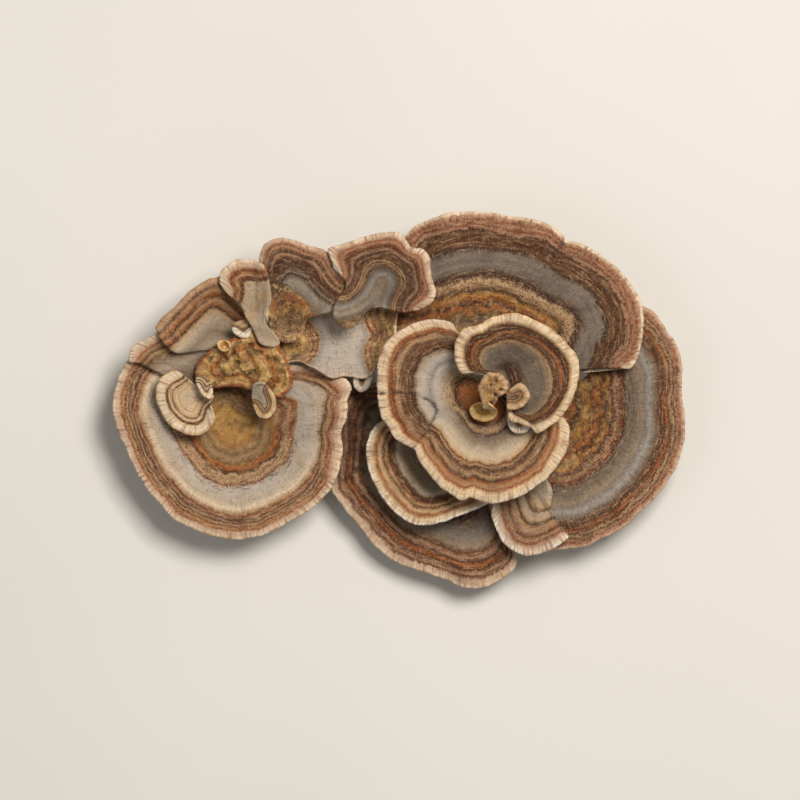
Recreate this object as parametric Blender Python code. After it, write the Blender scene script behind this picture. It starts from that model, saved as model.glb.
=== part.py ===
"""Turkey tail fungus: a cluster of thin overlapping caps, cut flat where it grew on wood.

Every length below is in millimetres, and the meshes are made in metres.
+X runs along the cluster, +Y across it, +Z up from the flat cut at Z = 0.
"""
import math
from dataclasses import dataclass

import bmesh
import bpy
import numpy as np
from mathutils import Vector
from mathutils.bvhtree import BVHTree

MM = 0.001

# Driving dimensions of every cap
RIM_THICKNESS = 1.4      # a large cap at its margin
HUB_THICKNESS = 5.0      # a large cap where its foot begins
TOUCH_GAP = 0.35         # between a foot and the cap that carries it
PASS_GAP = 0.7           # between a cap and one that it passes over
FLARE = 1.45             # how far a foot widens where it meets the cap
WAVE_HEIGHT = 0.35       # fine waves along a margin
WAVE_LENGTH = 13.0
SKY = 90.0               # a height above the whole cluster
CUT_HEIGHT = 0.0         # the flat cut where the wood was

# Shares of the way from the hub to the margin where a cap's rings lie
UPPER_RINGS = (0.15, 0.42, 0.68, 0.88, 0.975)
UPPER_RINGS_SMALL = (0.35, 0.93)
LOWER_RINGS = (0.95, 0.6)
LOWER_RINGS_SMALL = (0.85,)
LOBES_KEPT = 5.0         # waves in one turn that reach inward from the margin


@dataclass
class Cap:
    """One cap: its growth line, its margin and the foot that carries it."""

    name: str
    hub: tuple                       # the ends of the growth line, (x, y)
    hub_height: float
    margin: tuple                    # (x, y, z) along the upper edge
    foot: tuple                      # (x, y, radius)
    segments: int
    colour: tuple
    on_wood: bool = False            # the foot ends in the flat cut
    hangs: bool = False              # grows from the underside of the cap made before it
    rim: float = RIM_THICKNESS
    body: float = HUB_THICKNESS
    crown: float = 0.8               # how far the upper face swells before its margin
    lumps: float = 0.0
    small: bool = False


def clear_scene():
    """Start from an empty scene."""
    for item in list(bpy.data.objects):
        bpy.data.objects.remove(item, do_unlink=True)


def unit_steps(count):
    return np.arange(count) / count


def closed_curve(points, count):
    """Smooth closed curve through the points, in even steps along its plan length."""
    corners = np.array(points, float)
    area = np.sum(corners[:, 0] * np.roll(corners[:, 1], -1) - np.roll(corners[:, 0], -1) * corners[:, 1])
    if area < 0:
        corners = corners[::-1]
    before = np.roll(corners, 1, axis=0)
    after = np.roll(corners, -1, axis=0)
    step_in = np.sqrt(np.linalg.norm(corners - before, axis=1))
    step_out = np.sqrt(np.linalg.norm(after - corners, axis=1))
    slope = (after - before) / (step_in + step_out)[:, None]
    fine = []
    for k in range(len(corners)):
        nxt = (k + 1) % len(corners)
        span = step_out[k]
        for t in unit_steps(24):
            fine.append(
                (2 * t**3 - 3 * t**2 + 1) * corners[k]
                + (t**3 - 2 * t**2 + t) * span * slope[k]
                + (3 * t**2 - 2 * t**3) * corners[nxt]
                + (t**3 - t**2) * span * slope[nxt]
            )
    fine = np.array(fine + [fine[0]])
    length = np.concatenate([[0.0], np.cumsum(np.linalg.norm(np.diff(fine[:, :2], axis=0), axis=1))])
    wanted = unit_steps(count) * length[-1]
    loop = np.stack([np.interp(wanted, length, fine[:, axis]) for axis in range(3)], axis=1)
    return loop, wanted


def softened(loop):
    """The same loop with its small lobes smoothed away."""
    turns = np.abs(np.fft.fftfreq(len(loop), 1 / len(loop)))
    keep = np.exp(-((turns / LOBES_KEPT) ** 2))
    return np.real(np.fft.ifft(np.fft.fft(loop, axis=0) * keep[:, None], axis=0))


def nearest_on_line(ends, places):
    """For each place, the nearest point on the straight growth line."""
    start = np.array(ends[0], float)
    run = np.array(ends[-1], float) - start
    size = float(run @ run)
    if size == 0:
        return np.repeat(start[None, :], len(places), axis=0)
    share = np.clip(((places - start) @ run) / size, 0, 1)
    return start + share[:, None] * run


def lumps_at(x, y):
    """A fixed lumpy relief, between about -1 and 1."""
    return (
        0.55 * np.sin(1.05 * x + 0.6 * y + 0.7) * np.cos(0.95 * y - 0.45 * x + 1.9)
        + 0.35 * np.sin(0.55 * x - 1.6 * y + 2.3)
        + 0.25 * np.cos(2.1 * x + 1.3 * y + 0.4)
    )


class Form:
    """The smooth upper and lower faces of one cap."""

    def __init__(self, cap, count):
        self.cap = cap
        self.loop, self.along = closed_curve(cap.margin, count)
        self.soft = softened(self.loop)
        self.start = nearest_on_line(cap.hub, self.loop[:, :2])
        self.reach = np.linalg.norm(self.loop[:, :2] - self.start, axis=1)
        self.front = self.reach / self.reach.max()

    def place(self, share):
        """Plan position of every growth line at a share of the way to the margin."""
        share = np.reshape(share, (-1, 1))
        even = self.start + (self.soft[:, :2] - self.start) * share
        return even + (self.loop[:, :2] - self.soft[:, :2]) * share**3

    def upper(self, share):
        """Height of the upper face."""
        cap = self.cap
        rise = 0.35 * share + 0.65 * share**2 * (3 - 2 * share)
        swell = share**3 * (1 - share) / 0.1055
        height = cap.hub_height + (self.loop[:, 2] - cap.hub_height) * rise
        height = height + cap.crown * self.front * swell
        wave = np.sin(2 * math.pi * self.along / WAVE_LENGTH + cap.hub_height)
        height = height + WAVE_HEIGHT * self.front * share**3 * wave
        if cap.lumps:
            spot = self.place(share)
            height = height + cap.lumps * lumps_at(spot[:, 0], spot[:, 1])
        return height

    def thickness(self, share):
        return self.cap.rim + (self.cap.body - self.cap.rim) * (1 - share) ** 2

    def share_of(self, spot):
        """Share of the way to the margin of one place on every growth line."""
        run = self.loop[:, :2] - self.start
        return np.clip(np.sum((spot - self.start) * run, axis=1) / self.reach**2, 0, 1)


def top_of(trees, x, y):
    """Highest point of the pieces already made at one place, or None."""
    best = None
    for tree in trees:
        spot = tree.ray_cast(Vector((x, y, SKY)), Vector((0, 0, -1)))[0]
        if spot is not None and (best is None or spot.z > best):
            best = spot.z
    return best


def spread(grid, reach, take):
    """Combine each cell with its neighbours, along the closed margin and across it."""
    padded = np.pad(grid, ((0, 0), (reach, reach)), mode="edge")
    layers = []
    for along in range(-reach, reach + 1):
        for across in range(2 * reach + 1):
            layers.append(np.roll(padded[:, across:across + grid.shape[1]], along, axis=0))
    return take(np.array(layers), axis=0)


def lift_over(cap, trees):
    """How far each part of a cap rises so that it passes over what lies below it."""
    count = cap.segments * 3
    form = Form(cap, count)
    shares = np.linspace(0.12, 1.0, 18)
    foot = np.array(cap.foot[:2])
    need = np.zeros((count, len(shares)))
    if cap.hangs:
        return shares, need
    for column, share in enumerate(shares):
        spots = form.place(share)
        floor = form.upper(share) - form.thickness(share)
        for row, (x, y) in enumerate(spots):
            below = top_of(trees, x, y)
            at_foot = np.hypot(x - foot[0], y - foot[1]) < cap.foot[2] * FLARE
            if below is None or (at_foot and cap.on_wood):
                continue
            room = 2 * TOUCH_GAP if at_foot else PASS_GAP
            need[row, column] = max(0.0, below + room - floor[row])
    need = spread(spread(need, 2, np.max), 2, np.mean)
    return shares, need


def ring(spots, heights):
    return np.column_stack([spots, heights])


def foot_rings(cap, form, trees, floor_height):
    """The foot below the hub, ending flat on the cut or shaped to the cap below."""
    centre = np.array(cap.foot[:2])
    away = form.loop[:, :2] - centre
    distance = np.linalg.norm(away, axis=1)
    away = away / distance[:, None]
    radius = np.minimum(cap.foot[2], 0.66 * distance)
    flare = centre + away * (radius * FLARE)[:, None]
    rings = [ring(flare, floor_height(flare))]
    waist = centre + away * radius[:, None]
    sole = centre + away * (radius * 0.9)[:, None]
    sole = ring(sole, sole_height(cap, centre, sole, trees))
    middle = 0.45 * rings[0][:, 2] + 0.55 * sole[:, 2]
    rings.append(ring(waist, np.maximum(middle, sole[:, 2] + 0.05)))
    rings.append(sole)
    return rings, np.array([centre[0], centre[1], sole[:, 2].mean()])


def sole_height(cap, centre, spots, trees):
    """Height of the underside of a foot, clear of every bump between its points."""
    if cap.on_wood:
        return np.full(len(spots), CUT_HEIGHT)
    highest = []
    for k, spot in enumerate(spots):
        between = 0.5 * (spot + spots[(k + 1) % len(spots)])
        before = 0.5 * (spot + spots[k - 1])
        probes = (spot, between, before, 0.5 * (spot + centre), centre)
        found = [top_of(trees, x, y) for x, y in probes]
        highest.append(max(height for height in found if height is not None))
    return np.array(highest) + TOUCH_GAP


def lift_reader(cap, form, trees):
    """A function that gives the lift of every growth line at a share of the way out."""
    shares, grid = lift_over(cap, trees)
    coarse = unit_steps(len(grid)) * len(grid)
    fine = unit_steps(len(form.loop)) * len(grid)
    columns = [np.interp(fine, coarse, grid[:, k], period=len(grid)) for k in range(len(shares))]
    table = np.array(columns)

    def lift(share):
        wanted = np.broadcast_to(share, len(form.loop))
        return np.array([np.interp(w, shares, table[:, row]) for row, w in enumerate(wanted)])

    return lift


def cap_rings(cap, trees):
    """Every ring of points of a cap, from the middle of its top to the middle of its foot."""
    form = Form(cap, cap.segments)
    lift = lift_reader(cap, form, trees)
    upper_rings = UPPER_RINGS_SMALL if cap.small else UPPER_RINGS
    lower_rings = LOWER_RINGS_SMALL if cap.small else LOWER_RINGS
    rings = []
    for share in upper_rings:
        rings.append(ring(form.place(share), form.upper(share) + lift(share)))
    edge = form.upper(1.0) + lift(1.0) - 0.5 * cap.rim
    rings.append(ring(form.place(1.0), edge))

    def floor_height(spots):
        share = form.share_of(spots)
        return form.upper(share) + lift(share) - form.thickness(share)

    if cap.hangs:
        for share in (*lower_rings, 0.15):
            spots = form.place(share)
            rings.append(ring(spots, floor_height(spots)))
        tip = rings[-1].mean(axis=0)
    else:
        foot, tip = foot_rings(cap, form, trees, floor_height)
        flare = foot[0][:, :2]
        for share in lower_rings:
            blend = share if share > 0.9 else share * 0.94
            spots = flare + (form.place(1.0) - flare) * blend
            rings.append(ring(spots, floor_height(spots)))
        rings.extend(foot)
    return rings, rings[0].mean(axis=0), tip


def hang_below(points, carrier):
    """Bring a hanging cap up or down until it all but touches the underside of its carrier."""
    room = []
    for x, y, z in points:
        spot = carrier.ray_cast(Vector((x, y, CUT_HEIGHT)), Vector((0, 0, 1)))[0]
        if spot is not None:
            room.append(spot.z - z)
    points[:, 2] += min(room) - TOUCH_GAP
    return points


def cap_mesh(cap, trees):
    """Points and faces of a closed cap."""
    rings, middle, tip = cap_rings(cap, trees)
    count = cap.segments
    points = np.vstack([middle[None, :], *rings, tip[None, :]])
    last = len(points) - 1
    faces = []
    for k in range(count):
        nxt = (k + 1) % count
        faces.append((0, 1 + k, 1 + nxt))
        for level in range(len(rings) - 1):
            here = 1 + level * count
            there = here + count
            faces.append((here + k, there + k, there + nxt, here + nxt))
        end = 1 + (len(rings) - 1) * count
        faces.append((end + k, last, end + nxt))
    if cap.hangs:
        points = hang_below(points, trees[-1])
    return points, faces


def tissue(cap):
    """Matt, slightly velvety fungus tissue in the cap's main colour."""
    material = bpy.data.materials.new(cap.name)
    material.use_nodes = True
    shader = material.node_tree.nodes["Principled BSDF"]
    shader.inputs["Base Color"].default_value = (*cap.colour, 1.0)
    shader.inputs["Roughness"].default_value = 0.85
    shader.inputs["Metallic"].default_value = 0.0
    material.diffuse_color = (*cap.colour, 1.0)
    return material


def add_cap(cap, cluster, trees):
    """Make one cap's object and remember its shape for the caps above it."""
    points, faces = cap_mesh(cap, trees)
    trees.append(BVHTree.FromPolygons([Vector(p) for p in points], faces))
    base = np.array([cap.hub[0][0], cap.hub[0][1], 0.0])
    shape = bmesh.new()
    corners = [shape.verts.new(Vector((p - base) * MM)) for p in points]
    for face in faces:
        shape.faces.new([corners[index] for index in face])
    bmesh.ops.triangulate(shape, faces=shape.faces[:])
    bmesh.ops.recalc_face_normals(shape, faces=shape.faces[:])
    mesh = bpy.data.meshes.new(cap.name)
    shape.to_mesh(mesh)
    shape.free()
    mesh.shade_smooth()
    mesh.materials.append(tissue(cap))
    piece = bpy.data.objects.new(cap.name, mesh)
    piece.location = Vector(base * MM)
    piece.parent = cluster
    bpy.context.scene.collection.objects.link(piece)
    return piece


BROWN = (0.30, 0.19, 0.13)
DARK_BROWN = (0.16, 0.10, 0.075)
GREY_TAN = (0.38, 0.31, 0.25)
GREY = (0.33, 0.30, 0.28)
CREAM = (0.62, 0.47, 0.31)
OCHRE = (0.50, 0.29, 0.09)
PALE = (0.72, 0.62, 0.48)


def bottom_cap():
    """Lowest cap, mostly in the shade of the others."""
    margin = (
        (-17.25, -22.25, 9.5), (-14.5, -26.75, 9.0), (-10.5, -31.25, 8.5), (-7.0, -35.75, 8.0),
        (-2.5, -40.0, 8.0), (3.0, -42.25, 8.0), (8.75, -44.0, 8.5), (12.5, -45.5, 8.5),
        (16.0, -47.0, 9.0), (20.0, -47.1, 9.0), (24.25, -45.75, 9.0), (27.5, -43.25, 9.5),
        (29.6, -40.25, 9.5), (28.0, -37.5, 9.0), (25.0, -32.5, 8.0), (22.5, -26.25, 7.0),
        (21.0, -20.0, 6.5), (19.5, -13.75, 6.5), (15.5, -7.5, 6.5), (10.0, -3.75, 7.0),
        (3.75, 0.0, 7.5), (-2.0, 3.0, 8.0), (-7.5, 5.0, 8.5), (-12.5, 4.0, 9.0),
        (-15.5, 0.0, 9.5), (-16.75, -7.5, 10.0), (-17.5, -15.0, 10.0),
    )
    return Cap("bottom_cap", ((11.25, -12.0),), 5.2, margin, (11.25, -12.0, 6.0), 26, BROWN, on_wood=True,
               body=4.4)


def left_rosette():
    """Broad round rosette with a bowl-shaped middle."""
    margin = (
        (-68.25, 10.0, 12.0), (-70.75, 4.5, 13.0), (-71.9, -1.25, 14.0), (-71.0, -6.25, 14.0),
        (-68.5, -12.5, 13.5), (-65.5, -18.75, 13.0), (-61.75, -24.25, 13.0), (-56.25, -30.0, 13.0),
        (-48.75, -33.5, 13.0), (-40.5, -35.0, 13.0), (-32.5, -33.0, 13.5), (-25.0, -29.0, 14.0),
        (-20.5, -25.75, 14.5), (-17.25, -22.5, 15.0), (-15.25, -17.5, 15.5), (-14.25, -11.75, 15.5),
        (-15.0, -8.25, 16.0), (-13.25, -4.5, 17.0), (-13.0, 0.0, 17.0), (-12.25, 3.25, 16.5),
        (-14.75, 6.2, 15.0), (-20.5, 8.4, 12.5), (-27.5, 9.2, 11.2), (-34.5, 12.5, 10.0),
        (-43.0, 20.0, 10.5), (-51.25, 20.0, 11.0), (-60.0, 15.5, 11.5), (-65.5, 12.5, 12.0),
    )
    return Cap("left_rosette", ((-42.0, -6.25),), 7.2, margin, (-42.0, -6.25, 9.0), 34, CREAM,
               on_wood=True, crown=1.2)


def right_cap():
    """Wide low cap on the right."""
    margin = (
        (60.75, 23.5, 12.0), (63.75, 21.5, 12.0), (67.0, 17.25, 12.0), (69.5, 13.25, 12.5),
        (70.5, 7.5, 12.5), (70.75, 0.0, 12.0), (71.5, -6.25, 12.0), (71.0, -11.25, 11.5),
        (68.75, -17.5, 11.5), (65.0, -23.0, 12.0), (61.25, -27.0, 12.0), (57.0, -31.0, 12.5),
        (52.0, -34.0, 12.5), (47.5, -36.4, 12.5), (42.5, -37.4, 12.0), (36.25, -37.5, 11.5),
        (30.0, -35.0, 11.0), (26.25, -29.5, 10.5), (24.25, -23.75, 10.0), (24.25, -17.5, 9.5),
        (28.5, -10.0, 8.5), (31.5, -3.0, 8.0), (33.5, 3.0, 8.0), (37.5, 8.75, 9.0),
        (45.0, 15.0, 10.0), (52.5, 20.5, 11.0), (57.0, 23.0, 11.5),
    )
    return Cap("right_cap", ((38.0, -1.25),), 6.6, margin, (39.5, -1.25, 6.5), 28, GREY_TAN,
               on_wood=True, crown=1.2)


def upper_back_cap():
    """Widest cap, along the back of the cluster, with one torn step in its margin."""
    margin = (
        (-0.5, 13.75, 9.5), (-2.0, 20.0, 10.0), (-2.0, 26.25, 11.0), (-0.75, 34.5, 14.0),
        (1.25, 40.75, 17.0), (3.5, 43.5, 17.5), (7.0, 45.1, 18.0), (11.25, 46.4, 18.0),
        (16.25, 47.1, 18.0), (22.5, 46.9, 17.5), (28.75, 45.9, 17.0), (34.5, 45.0, 17.0),
        (38.0, 43.5, 17.5), (40.75, 41.0, 18.0), (41.5, 40.0, 17.0), (45.0, 39.25, 16.5),
        (50.0, 36.5, 16.0), (54.75, 32.75, 16.0), (58.0, 28.5, 15.5), (60.25, 24.5, 15.5),
        (61.0, 20.0, 16.0), (60.5, 14.5, 16.0), (59.25, 9.75, 16.0), (57.25, 7.75, 15.5),
        (55.0, 9.0, 15.0), (53.0, 11.5, 14.5), (50.0, 10.0, 14.0), (46.25, 5.5, 12.0),
        (40.0, 2.0, 11.0), (33.75, -0.75, 10.5), (27.5, -2.25, 9.5), (21.25, -2.75, 9.5),
        (15.5, -0.5, 9.5), (10.0, 3.75, 9.5), (4.5, 10.0, 9.5),
    )
    return Cap("upper_back_cap", ((21.25, 3.75),), 9.0, margin, (21.25, 4.0, 6.0), 32, GREY,
               on_wood=True, crown=1.0)


def joining_plate():
    """Grey plate that joins the two halves, with a growth line between its two hubs."""
    margin = (
        (-35.5, 15.5, 13.0), (-33.5, 12.0, 13.5), (-29.5, 9.0, 14.5), (-25.5, 9.5, 15.5),
        (-22.0, 8.0, 16.5), (-19.5, 6.5, 17.0), (-17.25, 5.25, 17.0), (-14.25, 5.75, 17.0),
        (-11.25, 5.5, 17.0), (-9.0, 5.25, 17.0), (-7.25, 6.0, 17.0), (-5.75, 8.25, 16.5),
        (-3.0, 11.0, 14.0), (-1.0, 15.0, 13.0), (-0.75, 19.5, 13.0), (-0.5, 24.5, 13.0),
        (-3.0, 29.0, 13.5), (-8.0, 31.0, 13.5), (-14.0, 31.0, 13.0), (-20.5, 29.5, 13.0),
        (-27.0, 27.5, 13.0), (-32.0, 24.5, 13.0), (-35.5, 20.0, 13.0),
    )
    return Cap("joining_plate", ((-25.0, 14.5), (-6.0, 16.25)), 10.5, margin, (-15.0, 17.0, 5.0), 24,
               GREY, on_wood=True, body=4.0, crown=0.4)


def middle_bud_cap():
    """Tiny white-edged cap under the tip of the plate."""
    margin = (
        (-11.75, 5.25, 13.5), (-11.5, 3.25, 13.0), (-10.0, 1.9, 13.0), (-8.25, 2.5, 13.0),
        (-7.25, 4.25, 13.5), (-7.0, 6.0, 14.0), (-9.5, 7.25, 14.0), (-11.25, 6.75, 14.0),
    )
    return Cap("middle_bud_cap", ((-9.5, 5.0),), 14.0, margin, (-9.5, 5.0, 1.0), 10, PALE,
               hangs=True, rim=0.9, body=1.4, crown=0.2, small=True)


def upper_dark_cap():
    """Dark cap at the top left of the plate."""
    margin = (
        (-33.0, 20.5, 18.5), (-33.5, 25.0, 19.5), (-33.75, 29.25, 20.5), (-35.0, 33.0, 21.5),
        (-35.0, 36.5, 22.0), (-33.25, 39.25, 22.5), (-30.0, 40.4, 22.5), (-26.75, 40.0, 22.0),
        (-23.0, 38.4, 21.5), (-19.75, 37.6, 21.0), (-17.75, 36.75, 20.5), (-16.25, 33.0, 20.0),
        (-13.75, 29.75, 20.0), (-14.5, 26.0, 20.0), (-17.0, 22.25, 20.0), (-20.0, 21.25, 19.5),
        (-23.25, 20.0, 19.0), (-24.25, 16.25, 18.0), (-27.5, 14.25, 17.5), (-31.25, 15.5, 17.5),
    )
    return Cap("upper_dark_cap", ((-28.25, 19.5),), 15.2, margin, (-28.25, 19.5, 3.0), 20, DARK_BROWN,
               body=3.4)


def middle_cap():
    """Kidney-shaped cap above the plate, its right end curling over the back cap."""
    margin = (
        (-13.75, 18.0, 19.5), (-16.25, 20.0, 20.5), (-16.75, 22.25, 21.0), (-15.25, 25.5, 22.0),
        (-13.5, 28.75, 22.5), (-15.0, 31.25, 22.5), (-17.25, 35.0, 22.0), (-18.0, 37.5, 21.5),
        (-15.5, 38.6, 22.0), (-12.0, 39.6, 22.5), (-8.5, 41.0, 23.0), (-3.75, 41.75, 23.0),
        (0.5, 41.25, 22.5), (2.75, 38.25, 21.5), (6.0, 37.5, 21.0), (7.5, 35.0, 20.5),
        (7.75, 31.0, 20.5), (9.0, 27.0, 20.0), (7.5, 24.0, 20.0), (4.0, 22.25, 19.5),
        (0.0, 21.75, 19.0), (-3.5, 22.75, 18.5), (-7.0, 22.75, 18.5), (-9.5, 21.5, 19.0),
        (-11.0, 18.5, 19.0),
    )
    return Cap("middle_cap", ((-3.75, 26.0),), 16.4, margin, (-5.0, 25.5, 2.8), 24, BROWN, body=3.6)


def west_lobe():
    """Short lobe that overlaps the rosette on its upper left."""
    margin = (
        (-68.0, 9.75, 15.0), (-67.25, 12.5, 15.0), (-65.0, 14.6, 15.5), (-61.75, 16.25, 16.0),
        (-59.75, 17.5, 16.0), (-55.0, 16.5, 15.0), (-48.75, 13.75, 14.0), (-45.0, 9.5, 13.5),
        (-46.5, 5.5, 13.0), (-51.25, 4.25, 13.0), (-56.25, 5.25, 13.5), (-59.5, 6.25, 14.5),
        (-63.5, 8.5, 15.0), (-66.0, 9.25, 15.0),
    )
    return Cap("west_lobe", ((-48.75, 8.5),), 12.0, margin, (-49.0, 9.0, 2.6), 14, GREY_TAN, body=2.6,
               crown=0.5)


def north_west_lobe():
    """Second lobe of the rosette, overlapping the first."""
    margin = (
        (-61.0, 17.5, 17.5), (-59.25, 20.5, 18.0), (-57.25, 22.5, 18.0), (-54.0, 25.75, 18.5),
        (-50.5, 28.75, 19.0), (-47.0, 30.5, 19.0), (-44.5, 30.75, 18.5), (-40.5, 28.0, 17.0),
        (-37.5, 23.75, 16.0), (-36.25, 18.75, 15.0), (-38.25, 15.75, 14.5), (-42.0, 14.0, 14.0),
        (-47.0, 12.75, 14.5), (-51.25, 12.0, 15.5), (-55.5, 11.75, 16.5), (-58.5, 13.5, 17.0),
    )
    return Cap("north_west_lobe", ((-43.0, 17.0),), 13.0, margin, (-44.0, 17.2, 2.4), 16, GREY_TAN,
               body=2.8)


def left_core():
    """Lumpy ochre tissue in the middle of the rosette, arching over its bowl."""
    margin = (
        (-50.75, 7.5, 16.5), (-50.5, 5.0, 16.0), (-48.5, 3.5, 15.5), (-46.5, 3.0, 15.5),
        (-44.5, 3.5, 15.5), (-40.5, 3.75, 15.5), (-37.5, 2.5, 15.0), (-34.5, 2.25, 15.0),
        (-31.5, 0.5, 13.5), (-28.25, 1.25, 13.5), (-26.75, 6.25, 15.0), (-28.0, 9.0, 15.5),
        (-30.0, 12.5, 16.0), (-31.25, 15.5, 16.5), (-35.0, 17.5, 17.0), (-40.0, 16.0, 17.0),
        (-44.5, 14.5, 16.5), (-48.75, 11.25, 16.5),
    )
    return Cap("left_core", ((-39.25, 9.0),), 17.0, margin, (-39.5, 8.0, 4.2), 22, OCHRE, rim=2.6,
               body=5.0, crown=1.0, lumps=0.7)


def left_bud_cap():
    """Tiny pale cap below the neck of the upper left cap."""
    margin = (
        (-42.0, 18.25, 18.2), (-41.5, 16.75, 17.7), (-40.0, 15.6, 17.7), (-38.0, 15.5, 17.7),
        (-37.1, 16.7, 17.7), (-36.6, 18.2, 18.0), (-37.0, 19.5, 18.0), (-38.75, 20.0, 18.0),
        (-41.0, 19.5, 18.2),
    )
    return Cap("left_bud_cap", ((-38.25, 17.75),), 18.4, margin, (-38.6, 17.5, 1.4), 10, PALE, rim=0.9,
               body=1.2, crown=0.2, small=True)


def core_bud_cap():
    """Tiny yellow lip on the core."""
    margin = (
        (-45.5, 14.5, 17.7), (-45.25, 12.75, 17.7), (-43.75, 12.0, 17.7), (-42.25, 13.0, 17.7),
        (-42.5, 14.5, 18.0), (-44.0, 15.0, 18.0),
    )
    return Cap("core_bud_cap", ((-43.75, 13.6),), 18.0, margin, (-43.75, 13.4, 0.8), 8, CREAM, rim=0.8,
               body=1.0, crown=0.1, small=True)


def upper_left_cap():
    """Fan on a narrow neck, at the upper left of the core."""
    margin = (
        (-38.5, 20.5, 20.6), (-40.0, 23.75, 20.2), (-43.0, 26.5, 20.2), (-45.0, 29.25, 20.7),
        (-44.5, 32.25, 20.7), (-42.5, 34.0, 20.7), (-40.0, 35.1, 20.7), (-37.0, 35.1, 21.2),
        (-34.5, 34.0, 23.0), (-33.0, 31.75, 23.2), (-32.25, 28.0, 23.0), (-32.0, 24.75, 22.7),
        (-33.25, 22.0, 21.5), (-33.5, 19.5, 20.1), (-31.75, 17.25, 19.8), (-30.0, 14.25, 19.2),
        (-32.0, 13.25, 18.9), (-35.0, 14.0, 19.5), (-36.4, 17.4, 20.8),
    )
    return Cap("upper_left_cap", ((-35.5, 18.0), (-35.75, 22.0)), 20.0, margin, (-33.2, 16.0, 1.6), 20,
               GREY_TAN, rim=1.2, body=1.8, crown=0.4)


def left_fan_cap():
    """Pale cream fan over the left of the rosette."""
    margin = (
        (-52.5, 5.0, 17.0), (-55.75, 7.25, 17.5), (-58.5, 6.5, 17.5), (-60.5, 4.25, 17.5),
        (-61.1, 0.75, 17.0), (-60.0, -2.75, 16.5), (-57.5, -6.25, 16.0), (-54.25, -8.25, 16.0),
        (-50.5, -8.75, 16.0), (-48.0, -7.75, 16.0), (-46.25, -5.0, 16.5), (-46.5, -2.75, 17.0),
        (-47.25, -0.75, 17.0), (-46.5, 1.0, 16.5), (-48.75, 2.25, 16.5),
    )
    return Cap("left_fan_cap", ((-49.5, 0.5),), 14.8, margin, (-50.0, 0.2, 2.2), 18, CREAM, body=2.8,
               crown=0.5)


def left_lip_cap():
    """Small rolled lip where the pale fan leaves the core."""
    margin = (
        (-51.0, 5.5, 18.3), (-50.5, 3.0, 18.0), (-49.25, 1.0, 17.8), (-47.5, 0.25, 17.8),
        (-46.75, 2.0, 18.0), (-47.25, 4.5, 18.3), (-49.0, 6.0, 18.5),
    )
    return Cap("left_lip_cap", ((-48.75, 3.3),), 18.4, margin, (-48.6, 4.4, 1.0), 10, CREAM, rim=0.9,
               body=1.2, crown=0.3, small=True)


def left_tongue_cap():
    """Small tongue hanging over the bowl of the rosette."""
    margin = (
        (-36.5, 4.0, 17.3), (-37.0, 1.0, 16.6), (-36.5, -2.25, 15.3), (-35.0, -4.4, 14.8),
        (-32.75, -4.4, 14.8), (-31.25, -2.5, 15.3), (-31.0, 0.0, 16.6), (-32.0, 2.25, 17.3),
        (-34.0, 4.5, 17.6),
    )
    return Cap("left_tongue_cap", ((-34.25, 2.2),), 17.2, margin, (-34.25, 3.0, 1.2), 14, CREAM,
               rim=1.0, body=1.3, crown=0.4, small=True)


def mid_cap():
    """Middle tier at the front, between the lowest cap and the top one."""
    margin = (
        (-5.0, -5.5, 16.5), (-7.0, -7.5, 16.5), (-8.25, -10.75, 16.5), (-8.5, -15.0, 16.0),
        (-7.25, -19.25, 15.5), (-4.75, -24.0, 15.5), (-1.25, -28.25, 15.5), (3.0, -30.9, 16.0),
        (8.0, -31.1, 16.5), (13.0, -29.75, 16.5), (19.25, -27.25, 17.0), (22.25, -25.5, 17.0),
        (23.25, -22.0, 16.0), (23.0, -16.25, 15.0), (20.0, -10.0, 14.5), (15.5, -7.0, 14.5),
        (9.5, -5.0, 15.0), (2.0, -3.25, 16.0),
    )
    return Cap("mid_cap", ((12.5, -11.75),), 12.0, margin, (12.0, -12.5, 4.5), 24, BROWN)


def lower_fan_cap():
    """Folded fan at the front, over the right cap."""
    margin = (
        (23.25, -25.75, 16.5), (23.0, -28.75, 16.0), (24.25, -33.0, 15.5), (26.5, -36.5, 15.5),
        (30.0, -38.75, 15.5), (33.0, -39.1, 15.5), (37.0, -37.75, 15.5), (40.0, -36.0, 15.5),
        (42.25, -34.25, 15.5), (40.5, -32.0, 15.5), (39.0, -29.5, 15.5), (37.75, -26.75, 15.5),
        (38.25, -23.0, 15.5), (36.25, -19.0, 15.5), (31.75, -17.0, 15.0), (27.0, -19.5, 15.5),
        (24.25, -22.75, 16.0),
    )
    return Cap("lower_fan_cap", ((31.75, -20.75),), 13.5, margin, (31.5, -21.0, 2.6), 18, GREY_TAN,
               body=3.0)


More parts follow.
